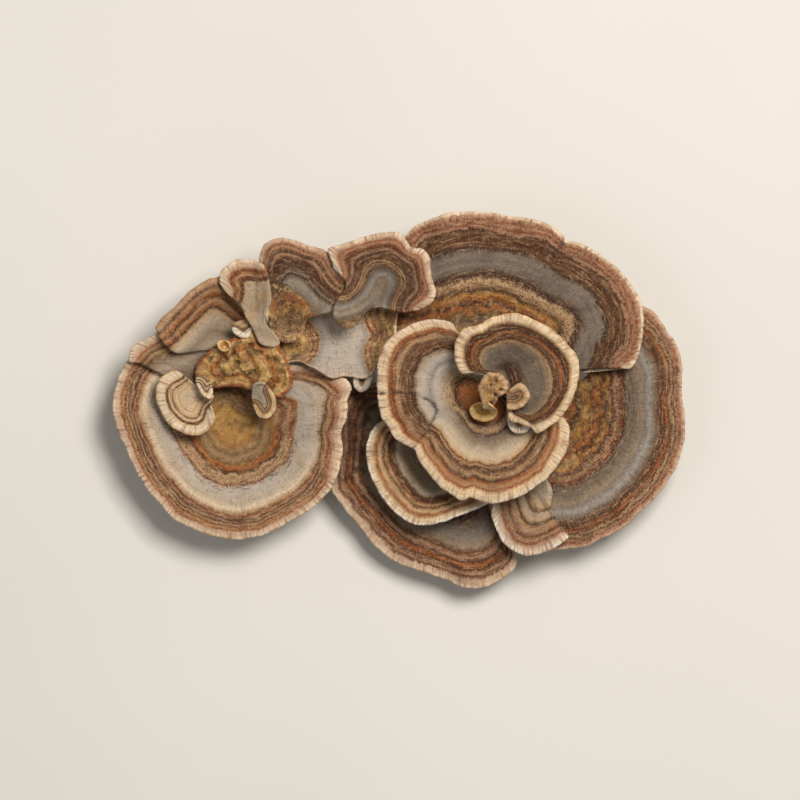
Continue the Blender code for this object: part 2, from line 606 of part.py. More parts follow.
def top_cap():
    """Large top tier with a left lobe, a small lobe and a broad front lobe."""
    margin = (
        (14.75, 16.75, 26.5), (13.0, 19.0, 27.0), (10.0, 20.0, 27.0), (6.25, 19.9, 27.0),
        (2.0, 18.5, 27.0), (-1.75, 16.25, 27.0), (-4.25, 12.75, 27.0), (-5.6, 8.75, 26.5),
        (-5.75, 3.75, 26.5), (-5.4, 0.0, 26.0), (-4.75, -4.25, 25.0), (-3.0, -6.75, 24.5),
        (-1.25, -9.5, 24.5), (1.75, -11.5, 24.5), (3.5, -12.25, 25.0), (4.75, -14.75, 25.0),
        (6.5, -17.75, 25.0), (9.25, -21.0, 25.0), (12.5, -23.5, 24.5), (15.75, -25.0, 24.5),
        (17.5, -24.1, 24.5), (19.5, -24.9, 24.5), (23.0, -25.75, 24.5), (28.75, -24.4, 24.5),
        (32.5, -22.6, 24.5), (36.25, -19.75, 24.5), (39.25, -16.5, 25.0), (41.25, -12.75, 25.5),
        (42.25, -8.5, 25.5), (41.5, -5.5, 25.0), (39.0, -2.5, 24.0), (36.25, 1.75, 23.0),
        (32.5, 7.0, 23.0), (28.0, 11.25, 23.5), (22.5, 14.5, 24.5), (18.25, 16.5, 25.5),
    )
    return Cap("top_cap", ((21.25, 0.75),), 18.2, margin, (21.25, 1.5, 5.0), 36, BROWN, crown=1.0)


def inner_bud_cap():
    """Tiny white-margined cap under the end of the spiral."""
    margin = (
        (26.75, -5.25, 22.3), (27.5, -7.5, 22.3), (29.5, -8.5, 22.3), (31.75, -7.9, 22.3),
        (32.75, -6.0, 22.3), (32.5, -2.0, 21.8), (29.5, 0.0, 21.6), (27.0, -1.75, 21.8),
    )
    return Cap("inner_bud_cap", ((29.5, -3.5),), 21.8, margin, (29.5, -3.4, 1.4), 12, PALE, rim=0.9,
               body=1.3, crown=0.2, small=True)


def spiral_cap():
    """Highest cap, wound around the middle of the right group."""
    margin = (
        (15.5, 6.5, 28.9), (14.0, 8.5, 29.4), (13.5, 12.0, 29.9), (14.0, 15.0, 30.4),
        (16.0, 17.75, 30.9), (19.5, 18.75, 31.4), (22.5, 20.5, 31.9), (26.75, 21.5, 31.9),
        (30.0, 21.25, 31.9), (33.75, 19.75, 31.9), (38.0, 17.5, 31.9), (41.5, 14.0, 31.4),
        (43.75, 11.0, 31.4), (44.6, 7.25, 30.9), (43.75, 3.0, 30.4), (42.0, -1.5, 29.9),
        (39.75, -4.5, 29.4), (36.75, -7.1, 28.9), (34.0, -8.25, 28.4), (32.5, -7.0, 27.9),
        (30.0, -6.0, 27.9), (27.25, -5.0, 27.4), (26.5, -1.25, 27.4), (26.0, 2.5, 27.4),
        (25.0, 5.75, 27.4), (20.0, 6.9, 27.9),
    )
    return Cap("spiral_cap", ((26.5, 7.5), (29.25, -1.25)), 26.4, margin, (29.5, 4.5, 2.8), 30, BROWN,
               body=3.2, crown=0.9)


def centre_knob():
    """Pitted yellow-brown knob in the middle of the spiral."""
    margin = (
        (19.5, 3.5, 32.0), (20.0, 5.5, 33.0), (21.75, 7.1, 33.5), (24.0, 7.0, 33.5),
        (26.0, 5.5, 33.0), (27.0, 3.5, 33.0), (25.75, 1.0, 32.5), (24.0, 0.0, 31.0),
        (22.0, -0.5, 30.5), (20.75, 0.5, 31.0),
    )
    return Cap("centre_knob", ((23.0, 3.6),), 34.0, margin, (22.6, 3.0, 2.3), 14, OCHRE, rim=2.6,
               body=5.0, crown=1.0, lumps=0.35)


def knob_cap():
    """Tiny yellow cap at the foot of the knob."""
    margin = (
        (17.25, -2.75, 23.6), (18.25, -4.5, 23.1), (20.25, -5.4, 23.1), (22.25, -5.25, 23.1),
        (23.75, -4.25, 23.1), (24.25, -2.75, 23.6), (23.0, -1.25, 23.9), (21.75, -0.5, 24.1),
        (19.5, -0.5, 24.1), (17.75, -1.25, 23.9),
    )
    return Cap("knob_cap", ((20.75, -2.2),), 23.6, margin, (20.7, -2.3, 1.2), 12, CREAM, rim=1.0,
               body=1.4, crown=0.2, small=True)


def inner_fan_cap():
    """Tiny banded fan beside the knob."""
    margin = (
        (26.5, -0.5, 29.6), (26.75, -2.25, 29.6), (28.75, -2.4, 29.6), (31.0, -1.25, 30.1),
        (32.25, 0.75, 30.6), (31.75, 2.75, 30.6), (30.0, 4.25, 30.6), (28.0, 3.25, 30.1),
        (26.7, 1.75, 29.6),
    )
    return Cap("inner_fan_cap", ((28.2, 0.9),), 29.4, margin, (28.6, 0.8, 1.2), 12, CREAM, rim=0.9,
               body=1.3, crown=0.2, small=True)


# From the lowest tier to the highest: each cap is shaped over those before it
CAPS = (
    bottom_cap, left_rosette, right_cap, upper_back_cap, joining_plate, middle_bud_cap,
    upper_dark_cap, middle_cap, west_lobe, north_west_lobe, left_core, left_bud_cap,
    core_bud_cap, upper_left_cap, left_fan_cap, left_lip_cap, left_tongue_cap, mid_cap,
    lower_fan_cap, top_cap, inner_bud_cap, spiral_cap, centre_knob, knob_cap, inner_fan_cap,
)


def main():
    clear_scene()
    cluster = bpy.data.objects.new("turkey_tail_cluster", None)
    bpy.context.scene.collection.objects.link(cluster)
    trees = []
    for describe in CAPS:
        add_cap(describe(), cluster, trees)


main()
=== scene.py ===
"""Turkey tail fungus: the looks of a cluster of thin, banded, overlapping caps.

Lengths below are in millimetres and the meshes are made in metres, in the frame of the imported
part: +X along the cluster, +Y across it, +Z up from the flat cut where it grew on wood.
Each cap is one closed mesh: a banded velvety top, a rounded margin, a pored underside and a foot.
"""

import math
from dataclasses import dataclass

import bpy
import numpy as np
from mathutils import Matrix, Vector
from mathutils.bvhtree import BVHTree


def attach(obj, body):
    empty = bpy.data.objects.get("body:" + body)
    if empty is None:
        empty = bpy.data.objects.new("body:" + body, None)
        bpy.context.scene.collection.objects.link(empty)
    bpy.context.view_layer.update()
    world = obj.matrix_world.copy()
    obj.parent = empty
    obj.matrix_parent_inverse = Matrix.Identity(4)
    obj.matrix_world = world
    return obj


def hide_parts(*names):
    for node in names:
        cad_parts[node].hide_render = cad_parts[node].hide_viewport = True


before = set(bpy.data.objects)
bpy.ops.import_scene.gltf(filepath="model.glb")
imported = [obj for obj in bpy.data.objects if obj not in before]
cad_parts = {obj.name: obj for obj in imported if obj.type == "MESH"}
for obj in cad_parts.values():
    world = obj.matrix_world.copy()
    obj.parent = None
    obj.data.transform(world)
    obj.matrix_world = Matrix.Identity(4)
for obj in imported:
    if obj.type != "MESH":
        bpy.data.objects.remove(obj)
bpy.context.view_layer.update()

MM = 0.001

# Driving dimensions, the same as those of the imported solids
RIM_THICKNESS = 1.4
HUB_THICKNESS = 5.0
PASS_GAP = 0.7
FLARE = 1.45
WAVE_HEIGHT = 0.35
WAVE_LENGTH = 13.0
SKY = 90.0
CUT_HEIGHT = 0.0
LOBES_KEPT = 5.0

# The finer relief, which only the looks have
STEP_ALONG = 0.45        # between points along a margin
STEP_OUT = 0.36          # between points from the hub to the margin
SWEEP = 2.1              # how far a foot's flare reaches, against its radius
SOLE = 0.9               # radius of a foot's end, against its radius
GROWN_IN = 0.45          # how far a foot sinks into the cap that carries it
BAND_RELIEF = 0.34       # between the darkest and the palest band
RING_RELIEF = 0.09       # fine rings
WAVE_RELIEF = 0.22       # broad rings
WRINKLE = 0.24           # radial wrinkles near the margin
KNOBBLY = 0.3            # lumps of the ochre patches
RAGGED = 0.33            # how far the margin strays from its smooth line
SOFT_CORNER = 1.1        # how soft the bands turn round the corners of a leading edge
BUMP_DEPTH = 0.7         # of the relief that is in the material alone
SWELL_PEAK = 0.1055      # highest value of share**3 * (1 - share)
FOOT_SHARE = 0.66        # widest foot, against the distance to the margin
FLARE_SHARE = 0.8        # widest flare, against the distance to the margin
FLARE_BEND = 2.2         # how sharply a foot narrows out of its flare
DROP_BEND = 1.4          # how sharply a foot drops away from the underside
EVENNESS = 0.03          # of the directions round a foot, the part that is evenly spaced
SOLE_RINGS = (0.985, 0.97, 0.7, 0.35)    # against the radius of the sole
NO_PORES = -5.0          # stands for a place past the margin, where the pores are closed

# Points, and places that are sampled
CURVE_STEPS = 40         # between two points of a margin's table
HUB_START = 0.03         # share of the way out of the first ring around a hub
LINE_START = 0.003       # the same around a growth line
UNDER_COARSE = 2.2       # spacing out along the underside, against the top's
SOLE_SAMPLES = 24        # places around a foot where its carrier is looked for
HANG_SAMPLE = 7          # every so many points, where the carrier above is looked for
PLAN_LINES = 80          # around a cap, to measure its margin
LIFT_SHARES = 24         # out from the hub, where a cap is held against those below
LIFT_LINES = (36, 120)   # fewest and most around the cap, for the same
LIFT_RINGS = 90          # out from the hub, in the dense table of the lift
LIFT_BLUR = 6            # steps of the dense table
FOOT_RINGS = 12
ARC = (60, 32, 8, -16, -40, -66)     # degrees around the rounded margin

# Studio
FLOOR_SIZE = 4000.0
CAMERA_HEIGHT = 2400.0
SENSOR_WIDTH = 36.0
VIEW_WIDTH = 200.0
VIEW_LEVEL = 15.0        # the height at which the view is VIEW_WIDTH wide
SKY_COLOUR = (1.0, 0.98, 0.96, 1.0)
SKY_STRENGTH = 0.23
# Place, size, power in watts and colour of each light
LIGHTS = {
    "key": ((270.0, 310.0, 850.0), 360.0, 10.5, (1.0, 0.95, 0.88)),
    "fill": ((-500.0, -200.0, 700.0), 500.0, 0.9, (0.95, 0.97, 1.0)),
}

# Hexadecimal sRGB
COLOURS = dict(
    white_rim="F2E4D0", pale_rim="DEC7AA", pink_rim="C8A68B", cream="DFC299", sand="C4A27A",
    tan="AC8760", pink_tan="A67C60", rust="9A5628", red_brown="743A1C", brown="583218",
    dull_brown="6C4A30", umber="3B2112", plum="42291F", soot="22160F", blue_grey="A39582",
    pale_grey="BFB2A4", cool_grey="9E958C", dim_grey="80746A", slate="746556", ash="BDAA92",
    bone="CDB799", warm_grey="937E67", olive="7F633A", ochre="B27C33", orange="B2652B",
    gold="D2A055", yellow="E6BF7C", pores="DCCBAC", cut_tissue="E2D3B4", paper="CCC9C3",
    pale_paper="D0CDC7",
)


def table_rows(table):
    """The rows of a table of words, with commas between the rows."""
    return [row.split() for row in table.split(",") if row.strip()]


@dataclass
class Cap:
    """One cap: where it grows, its margin, its foot and how it looks."""

    name: str
    hub: tuple                       # the ends of the growth line, (x, y)
    hub_height: float
    foot: tuple                      # (x, y, radius)
    reach: float                     # the length that the bands are spaced for
    margin: str                      # x and y in quarters of a millimetre, z in millimetres
    bands: str                       # thousandths of the way out, colour, tenths of speckle
    other: str = ""                  # bands of another lobe
    on_wood: bool = False            # the foot ends in the flat cut
    hangs: bool = False              # grows from the underside of the cap made before it
    rim: float = RIM_THICKNESS
    body: float = HUB_THICKNESS
    crown: float = 0.8
    lumps: float = 0.0
    pitted: float = 0.0
    pit_size: float = 1.7
    mottled: float = 0.0             # how far out the patches of the hub reach
    mottled_other: bool = False      # patches all over the other lobe
    mottling: float = 0.6            # how strong the patches are
    wavy: float = 1.0                # how much the inner bands wander
    margin_colour: str = "pale_rim"
    margin_width: float = 1.0
    fibrils: float = 0.6             # how dark the radial threads are
    jagged: float = 0.05             # how far the edges of the bands stray
    blotch: tuple = ("olive", 0.12)  # a second tint and how strong it is
    turn: tuple = ()                 # (x, y) where the first bands end and where the others begin
    cracks: tuple = ()               # ((x, y), ...), depth, width; the lines are sunk in and darkened with painted shade
    lead: tuple = ()                 # first and last margin point of the edge that the bands follow
    centres: tuple = ()              # (x, y, reach) that the bands run around, in place of the hub
    ragged: float = RAGGED
    coarse: float = 1.0              # spacing of the points, against a large cap's

    def __post_init__(self):
        points = [map(float, row) for row in table_rows(self.margin)]
        self.margin = [(x / 4, y / 4, z) for x, y, z in points]
        self.bands, self.other = (
            [(int(out) / 1000, colour, int(dots) / 10) for out, colour, dots in table_rows(table)]
            for table in (self.bands, self.other)
        )


def unit_steps(count):
    return np.arange(count) / count


def smooth(value, low, high):
    """0 below low, 1 above high, and a soft step between."""
    t = np.clip((value - low) / (high - low), 0, 1)
    return t * t * (3 - 2 * t)


def lattice(cells, seed):
    """A fixed value from 0 to 1 for every whole cell."""
    mixed = cells.astype(np.int64) * np.array([73856093, 19349663, 83492791])
    key = np.bitwise_xor.reduce(mixed, axis=-1) + seed * 2654435761
    key = (key ^ (key >> 13)) * 1274126177 & 0xFFFFFFFF
    key = (key ^ (key >> 16)) * 2246822519 & 0xFFFFFFFF
    return (key ^ (key >> 15)) % 65536 / 65535


def noise(spots, period, seed=0, octaves=2):
    """Smooth fixed noise, between about -1 and 1, over (..., 3) places."""
    total = np.zeros(spots.shape[:-1])
    strength = 1.0
    for octave in range(octaves):
        place = spots / period * 2**octave
        cell = np.floor(place)
        t = place - cell
        t = t * t * t * (t * (6 * t - 15) + 10)
        value = np.zeros(spots.shape[:-1])
        for corner in np.ndindex(2, 2, 2):
            weight = np.prod(np.where(corner, t, 1 - t), axis=-1)
            value += weight * lattice(cell + corner, seed + octave)
        total += strength * (2 * value - 1)
        strength *= 0.5
    return total


def closed_curve(points, count):
    """Smooth closed curve through the points, in even steps along its plan length."""
    corners = np.array(points, float)
    ahead = np.roll(corners, -1, axis=0)
    area = np.sum(corners[:, 0] * ahead[:, 1] - ahead[:, 0] * corners[:, 1])
    if area < 0:
        corners = corners[::-1]
    before = np.roll(corners, 1, axis=0)
    after = np.roll(corners, -1, axis=0)
    step_in = np.sqrt(np.linalg.norm(corners - before, axis=1))
    step_out = np.sqrt(np.linalg.norm(after - corners, axis=1))
    slope = (after - before) / (step_in + step_out)[:, None]
    t = unit_steps(CURVE_STEPS)[None, :, None]
    span = step_out[:, None, None]
    fine = (
        (2 * t**3 - 3 * t**2 + 1) * corners[:, None]
        + (t**3 - 2 * t**2 + t) * span * slope[:, None]
        + (3 * t**2 - 2 * t**3) * after[:, None]
        + (t**3 - t**2) * span * np.roll(slope, -1, axis=0)[:, None]
    ).reshape(-1, 3)
    fine = np.vstack([fine, fine[:1]])
    pieces = np.linalg.norm(np.diff(fine[:, :2], axis=0), axis=1)
    length = np.concatenate([[0.0], np.cumsum(pieces)])
    wanted = unit_steps(count) * length[-1]
    loop = np.stack([np.interp(wanted, length, fine[:, axis]) for axis in range(3)], axis=1)
    return loop, wanted, length[-1]


def softened(loop):
    """The same loop with its small lobes smoothed away."""
    turns = np.abs(np.fft.fftfreq(len(loop), 1 / len(loop)))
    keep = np.exp(-((turns / LOBES_KEPT) ** 2))
    return np.real(np.fft.ifft(np.fft.fft(loop, axis=0) * keep[:, None], axis=0))


def nearest_on_line(ends, places):
    """For each place, the nearest point on the straight growth line."""
    start = np.array(ends[0], float)
    run = np.array(ends[-1], float) - start
    size = float(run @ run)
    if size == 0:
        return np.repeat(start[None, :], len(places), axis=0)
    share = np.clip(((places - start) @ run) / size, 0, 1)
    return start + share[:, None] * run


def lumps_at(x, y):
    """A fixed lumpy relief, between about -1 and 1."""
    return (
        0.55 * np.sin(1.05 * x + 0.6 * y + 0.7) * np.cos(0.95 * y - 0.45 * x + 1.9)
        + 0.35 * np.sin(0.55 * x - 1.6 * y + 2.3)
        + 0.25 * np.cos(2.1 * x + 1.3 * y + 0.4)
    )


class Form:
    """The smooth upper and lower faces of one cap. Shares are (rings, 1) or (rings, lines)."""

    def __init__(self, cap, count):
        self.cap = cap
        self.loop, self.along, self.length = closed_curve(cap.margin, count)
        self.soft = softened(self.loop)
        self.start = nearest_on_line(cap.hub, self.loop[:, :2])
        self.reach = np.linalg.norm(self.loop[:, :2] - self.start, axis=1)
        self.front = self.reach / self.reach.max()
        self.lead = self.leading_edge() if cap.lead else None
        turn = 2 * math.pi * self.along / self.length
        size = self.length / (2 * math.pi)
        self.round = np.stack([size * np.cos(turn), size * np.sin(turn)], axis=1)

    def leading_edge(self):
        """The part of the margin that the bands follow."""
        first, last = self.cap.lead
        line = [point[:2] for point in self.cap.margin[first:last + 1]]
        return self.loop[distance_to(line, self.loop[:, :2]) < 0.5, :2]

    def from_lead(self, spots):
        """Plan distance to the leading edge, with its corners softened."""
        gap = np.linalg.norm(spots[..., None, :] - self.lead, axis=-1)
        spacing = self.length / len(self.loop)
        soft = min(SOFT_CORNER, 0.06 * self.cap.reach)
        near = np.exp(-gap / soft).sum(axis=-1) * spacing / (2 * soft)
        return np.maximum(-soft * np.log(near), 0)

    def fray(self):
        """Let the margin stray a little from its smooth line."""
        spots = np.column_stack([self.round, np.full(len(self.round), self.cap.hub_height)])
        stray = 0.6 * noise(spots, 3.2, 5) + 0.4 * noise(spots, 1.1, 9)
        away = (self.loop[:, :2] - self.start) / self.reach[:, None]
        self.loop[:, :2] += away * (self.cap.ragged * np.minimum(stray, 0.8))[:, None]
        self.loop[:, 2] += 0.25 * self.cap.ragged * noise(spots, 2.4, 13)

    def place(self, share):
        """Plan position of every growth line at a share of the way to the margin."""
        share = np.asarray(share)[..., None]
        even = self.start + (self.soft[:, :2] - self.start) * share
        return even + (self.loop[:, :2] - self.soft[:, :2]) * share**3

    def upper(self, share):
        """Height of the upper face."""
        cap = self.cap
        rise = 0.35 * share + 0.65 * share**2 * (3 - 2 * share)
        swell = share**3 * (1 - share) / SWELL_PEAK
        height = cap.hub_height + (self.loop[:, 2] - cap.hub_height) * rise
        height = height + cap.crown * self.front * swell
        wave = np.sin(2 * math.pi * self.along / WAVE_LENGTH + cap.hub_height)
        return height + WAVE_HEIGHT * self.front * share**3 * wave

    def lumpy(self, share):
        """Height of the upper face with its lumps."""
        height = self.upper(share)
        if self.cap.lumps:
            spot = self.place(share)
            height = height + self.cap.lumps * lumps_at(spot[..., 0], spot[..., 1])
        return height

    def thickness(self, share):
        return self.cap.rim + (self.cap.body - self.cap.rim) * (1 - share) ** 2

    def lower(self, share, lift):
        """Height of the lower face, lifted over what lies below it."""
        return self.upper(share) + read_table(lift, share) - self.thickness(share)

    def grain(self, out):
        """Places in the fibres: round the margin, and out from the hub."""
        return np.dstack([np.broadcast_to(self.round, out.shape + (2,)), out])

    def share_of(self, spots):
        """Share of the way to the margin of one place on every growth line."""
        run = self.loop[:, :2] - self.start
        return np.clip(np.sum((spots - self.start) * run, axis=-1) / self.reach**2, 0, 1)

    def zone(self, share, spots):
        """Where the bands lie: evenly out of the hub, at a fixed distance near the margin."""
        if self.cap.lead:
            return np.clip(1 - self.from_lead(spots) / self.cap.reach, 0, 1)
        if self.cap.centres:
            x, y = spots[..., 0], spots[..., 1]
            away = [np.hypot(x - cx, y - cy) / reach for cx, cy, reach in self.cap.centres]
            return np.minimum(np.min(away, axis=0), 1)
        stretch = np.clip(self.reach / self.cap.reach, 0.3, 1.5)
        return share + (1 - stretch) * share * (1 - share)

    def edge(self, share, spots):
        """How far the pale margin is away."""
        if self.cap.lead:
            return self.from_lead(spots)
        return (1 - share) * self.reach


class Below:
    """The caps that are already made, for finding the highest one under a place."""

    def __init__(self):
        self.made = []

    def add(self, points, faces):
        tree = BVHTree.FromPolygons(points.tolist(), faces.tolist())
        self.made.append((tree, points[:, :2].min(axis=0), points[:, :2].max(axis=0)))

    def top(self, x, y):
        best = None
        for tree, low, high in self.made:
            if not (low[0] <= x <= high[0] and low[1] <= y <= high[1]):
                continue
            spot = tree.ray_cast(Vector((x, y, SKY)), Vector((0, 0, -1)))[0]
            if spot is not None and (best is None or spot.z > best):
                best = spot.z
        return best


def spread(grid, reach, take):
    """Combine each cell with its neighbours, along the closed margin and across it."""
    padded = np.pad(grid, ((reach, reach), (0, 0)), mode="edge")
    layers = []
    for along in range(-reach, reach + 1):
        for across in range(2 * reach + 1):
            layers.append(np.roll(padded[across:across + len(grid)], along, axis=1))
    return take(np.array(layers), axis=0)


def blurred(grid, steps):
    """Soften a dense grid, along the closed margin and across it."""
    weights = np.exp(-((np.arange(-steps, steps + 1) / (0.5 * steps)) ** 2))
    weights = weights / weights.sum()
    out = sum(w * np.roll(grid, k - steps, axis=1) for k, w in enumerate(weights))
    padded = np.pad(out, ((steps, steps), (0, 0)), mode="edge")
    return sum(w * padded[k:k + len(grid)] for k, w in enumerate(weights))


def lift_table(cap, count, below):
    """How far every growth line rises, at even shares, to pass over what lies below it."""
    if cap.hangs:
        return np.zeros((LIFT_RINGS, count))
    shares = np.linspace(0.0, 1.0, LIFT_SHARES)
    lines = int(np.clip(int(count / 4), *LIFT_LINES))
    form = Form(cap, lines)
    need = np.zeros((len(shares), lines))
    spots = form.place(shares[:, None])
    floor = form.upper(shares[:, None]) - form.thickness(shares[:, None])
    foot = np.array(cap.foot[:2])
    at_foot = np.linalg.norm(spots - foot, axis=-1) < cap.foot[2] * FLARE
    for row, column in np.ndindex(need.shape):
        if at_foot[row, column] or shares[row] < 0.1:
            continue
        top = below.top(*spots[row, column])
        if top is not None:
            need[row, column] = max(0.0, top + PASS_GAP - floor[row, column])
    need = spread(spread(need, 2, np.max), 2, np.mean)
    across = np.linspace(0, len(shares) - 1, LIFT_RINGS)
    rows = np.array([np.interp(across, np.arange(len(shares)), need[:, k]) for k in range(lines)])
    along = unit_steps(count) * lines
    dense = np.array([np.interp(along, np.arange(lines), row, period=lines) for row in rows.T])
    return blurred(dense, LIFT_BLUR)


def read_table(table, share):
    """The table's value for every line at its own share."""
    share = np.broadcast_to(share, (np.shape(share)[0], table.shape[1]))
    place = share * (len(table) - 1)
    low = np.clip(np.floor(place).astype(int), 0, len(table) - 2)
    part = place - low
    line = np.arange(table.shape[1])[None, :]
    return table[low, line] * (1 - part) + table[low + 1, line] * part


def srgb(name):
    """Red, green and blue of a named colour, from 0 to 1."""
    return [int(COLOURS[name][k:k + 2], 16) / 255 for k in (0, 2, 4)]


def luminance(name):
    red, green, blue = srgb(name)
    return 0.21 * red + 0.72 * green + 0.07 * blue


def distance_to(path, spots):
    """Plan distance from every place to a line of points."""
    best = np.full(spots.shape[:-1], np.inf)
    for a, b in zip(path[:-1], path[1:]):
        a = np.array(a, float)
        run = np.array(b, float) - a
        t = np.clip(((spots - a) @ run) / (run @ run), 0, 1)
        best = np.minimum(best, np.linalg.norm(spots - a - t[..., None] * run, axis=-1))
    return best


def relief(cap, form, share, zone, spots, grain):
    """Furrows, wrinkles, pits and cracks of the upper face, and the shade painted into its pits and
    cracks.
    """
    shares = [band[0] for band in cap.bands]
    light = [luminance(band[1]) for band in cap.bands]
    height = BAND_RELIEF * (np.interp(zone, shares, light) - 0.45)
    rings = grain * np.array([0.06, 0.06, 1.0])
    height += RING_RELIEF * noise(rings, 0.9, 21)
    height += WAVE_RELIEF * noise(grain * np.array([0.5, 0.5, 1.0]), 6.0, 25)
    rays = grain * np.array([1.0, 1.0, 0.16])
    height += WRINKLE * smooth(share, 0.45, 1.0) * form.front * noise(rays, 1.5, 31)
    height *= smooth(share, 0.0, 0.25)
    solid = np.dstack([spots, np.full(share.shape, cap.hub_height)])
    if cap.lumps:
        height += 0.6 * cap.lumps * noise(solid, 2.4, 41)
    mark = np.zeros(share.shape)
    patches = smooth(cap.mottled - zone, 0.0, 0.1) * smooth(share, 0.0, 0.15)
    if cap.mottled_other:
        patches = turn_at(cap, spots)
    if not cap.pitted:
        height += KNOBBLY * patches * noise(solid, 2.1, 57)
    else:
        pits = smooth(noise(solid, cap.pit_size, 43), 0.1, 0.8)
        swell = 0.6 * noise(solid, 1.5 * cap.pit_size, 45)
        height += cap.pitted * (swell - pits) * smooth(1 - share, 0.0, 0.15)
        # Painted shade: the pits are darkened
        mark = 0.55 * pits
    for path, depth, width in cap.cracks:
        stray = 0.9 * width * noise(solid, 1.6, 47)
        broken = 0.65 + 0.35 * noise(solid, 2.2, 49)
        near = np.exp(-(((distance_to(path, spots) + stray) / width) ** 2))
        near = near * np.clip(broken, 0.35, 1)
        height -= depth * near
        # Painted shade: darkened along the sunk lines
        mark = np.maximum(mark, near)
    return height, mark


class Skin:
    """Rings of points from the middle of a cap's top to the middle of its sole."""

    def __init__(self):
        self.points = []
        self.values = {name: [] for name in ("zone", "edge", "under", "foot", "mark", "turn")}
        self.grain = []

    def add(self, spots, heights, grain, **values):
        shape = heights.shape
        self.points.append(np.dstack([spots, heights]))
        self.grain.append(np.broadcast_to(grain, shape + (3,)))
        for name, rows in self.values.items():
            rows.append(np.broadcast_to(values.get(name, 0.0), shape))

    def closed(self):
        """Points, quads and triangles of the whole skin, and its values at the points."""
        points = np.vstack(self.points)
        rings, count = points.shape[:2]
        flat = points.reshape(-1, 3)
        ends = np.vstack([flat[:count].mean(axis=0), flat[-count:].mean(axis=0)])
        line = np.arange(count)
        ahead = np.roll(line, -1)
        row = np.arange(rings - 1)[:, None] * count
        corners = [row + line, row + line + count, row + ahead + count, row + ahead]
        quads = np.stack(corners, axis=-1).reshape(-1, 4)
        halves = np.vstack([quads[:, [0, 1, 2]], quads[:, [0, 2, 3]]])
        top, bottom = len(flat), len(flat) + 1
        last = (rings - 1) * count
        start = np.stack([np.full(count, top), line, ahead], axis=-1)
        end = np.stack([last + line, np.full(count, bottom), last + ahead], axis=-1)
        faces = np.vstack([halves, start, end])
        values = {}
        for name, rows in self.values.items():
            flat_rows = np.vstack(rows).reshape(-1)
            middles = [flat_rows[:count].mean(), flat_rows[-count:].mean()]
            values[name] = np.append(flat_rows, middles)
        grain = np.vstack(self.grain).reshape(-1, 3)
        grain = np.vstack([grain, grain[:count].mean(axis=0), grain[-count:].mean(axis=0)])
        return np.vstack([flat, ends]), faces, values, grain


def add_top(cap, form, lift, skin):
    """The banded upper face, from the hub to where the margin begins to round over."""
    rings = max(12, int(form.reach.max() / (STEP_OUT * cap.coarse)))
    inset = 1 - 0.5 * cap.rim / form.reach
    first = HUB_START if len(cap.hub) == 1 else LINE_START
    share = np.linspace(first, 1.0, rings)[:, None] * inset
    spots = form.place(share)
    grain = form.grain(share * form.reach.max())
    warp = (0.014 * noise(grain, 8.0, 51) + 0.006 * noise(grain, 2.0, 53)) * smooth(share, 0.1, 0.6)
    zone = form.zone(share, spots)
    wander = (cap.wavy - 1) * 0.03 * noise(grain, 5.0, 55) * smooth(0.62 - zone, 0.0, 0.2)
    wander = wander * smooth(share, 0.05, 0.3)
    zone = zone + warp * smooth(1 - share, 0.0, 0.1) + wander
    extra, mark = relief(cap, form, share, zone, spots, grain)
    height = form.lumpy(share) + read_table(lift, share) + extra
    skin.add(spots, height, grain, zone=zone, edge=form.edge(share, spots), mark=mark,
             turn=turn_at(cap, spots))
    return inset, spots[-1], height[-1], grain[-1]


def turn_at(cap, spots):
    """0 where a cap's first bands show, 1 where those of its other lobe do."""
    if not cap.turn:
        return 0.0
    start = np.array(cap.turn[0], float)
    run = np.array(cap.turn[1], float) - start
    wobble = 0.9 * noise(np.dstack([spots, np.zeros(spots.shape[:2])]), 4.0, 61, 4)
    return smooth(((spots - start) @ run + wobble * np.linalg.norm(run)) / (run @ run), 0, 1)


def add_margin(cap, form, spots, height, grain, skin):
    """The rounded margin."""
    away = form.loop[:, :2] - spots
    for angle in ARC:
        angle = math.radians(angle)
        place = spots + away * math.cos(angle)
        level = height - 0.5 * cap.rim * (1 - math.sin(angle))
        edge = form.edge(1.0, place[None]) - 0.5 * cap.rim * (1 - math.sin(angle))
        under = smooth(-math.sin(angle), 0.0, 0.95)
        skin.add(place[None], level[None], grain, zone=form.zone(np.ones((1, 1)), place[None]),
                 edge=edge, under=under, turn=turn_at(cap, place[None]))


def outward(away):
    """Directions from a foot to the margin, which never turn back on the way round."""
    turn = np.unwrap(np.arctan2(away[:, 1], away[:, 0]))
    lap = 2 * math.pi
    laps = np.concatenate([turn - lap, turn, turn + lap])
    ahead = np.maximum.accumulate(laps)
    behind = np.minimum.accumulate(laps[::-1])[::-1]
    even = turn[0] + lap * unit_steps(len(turn))
    middle = 0.5 * (ahead + behind)[len(turn):-len(turn)]
    turn = (1 - EVENNESS) * middle + EVENNESS * even
    return np.stack([np.cos(turn), np.sin(turn)], axis=1)


def add_underside(cap, form, lift, inset, skin):
    """The pored underside, from the margin to where the foot flares out."""
    centre = np.array(cap.foot[:2])
    away = form.loop[:, :2] - centre
    distance = np.linalg.norm(away, axis=1)
    away = outward(away)
    radius = np.minimum(cap.foot[2], FOOT_SHARE * distance)
    swept = np.minimum(SWEEP * radius, FLARE_SHARE * distance)
    flare = centre + away * swept[:, None]
    outer = form.place(inset[None])[0]
    rings = max(8, int(form.reach.max() / (UNDER_COARSE * STEP_OUT * cap.coarse)))
    blend = np.linspace(1.0, 0.0, rings)[1:, None]
    spots = flare + (outer - flare) * blend[..., None]
    share = form.share_of(spots)
    level = form.lower(share, lift)
    level += 0.1 * noise(np.dstack([spots, level]), 5.0, 71) * smooth(1 - blend, 0, 0.3)
    grain = form.grain(share * form.reach.max())
    skin.add(spots, level, grain, zone=share, edge=(1 - share) * form.reach, under=1.0)
    return centre, away, radius, swept, level[-1]


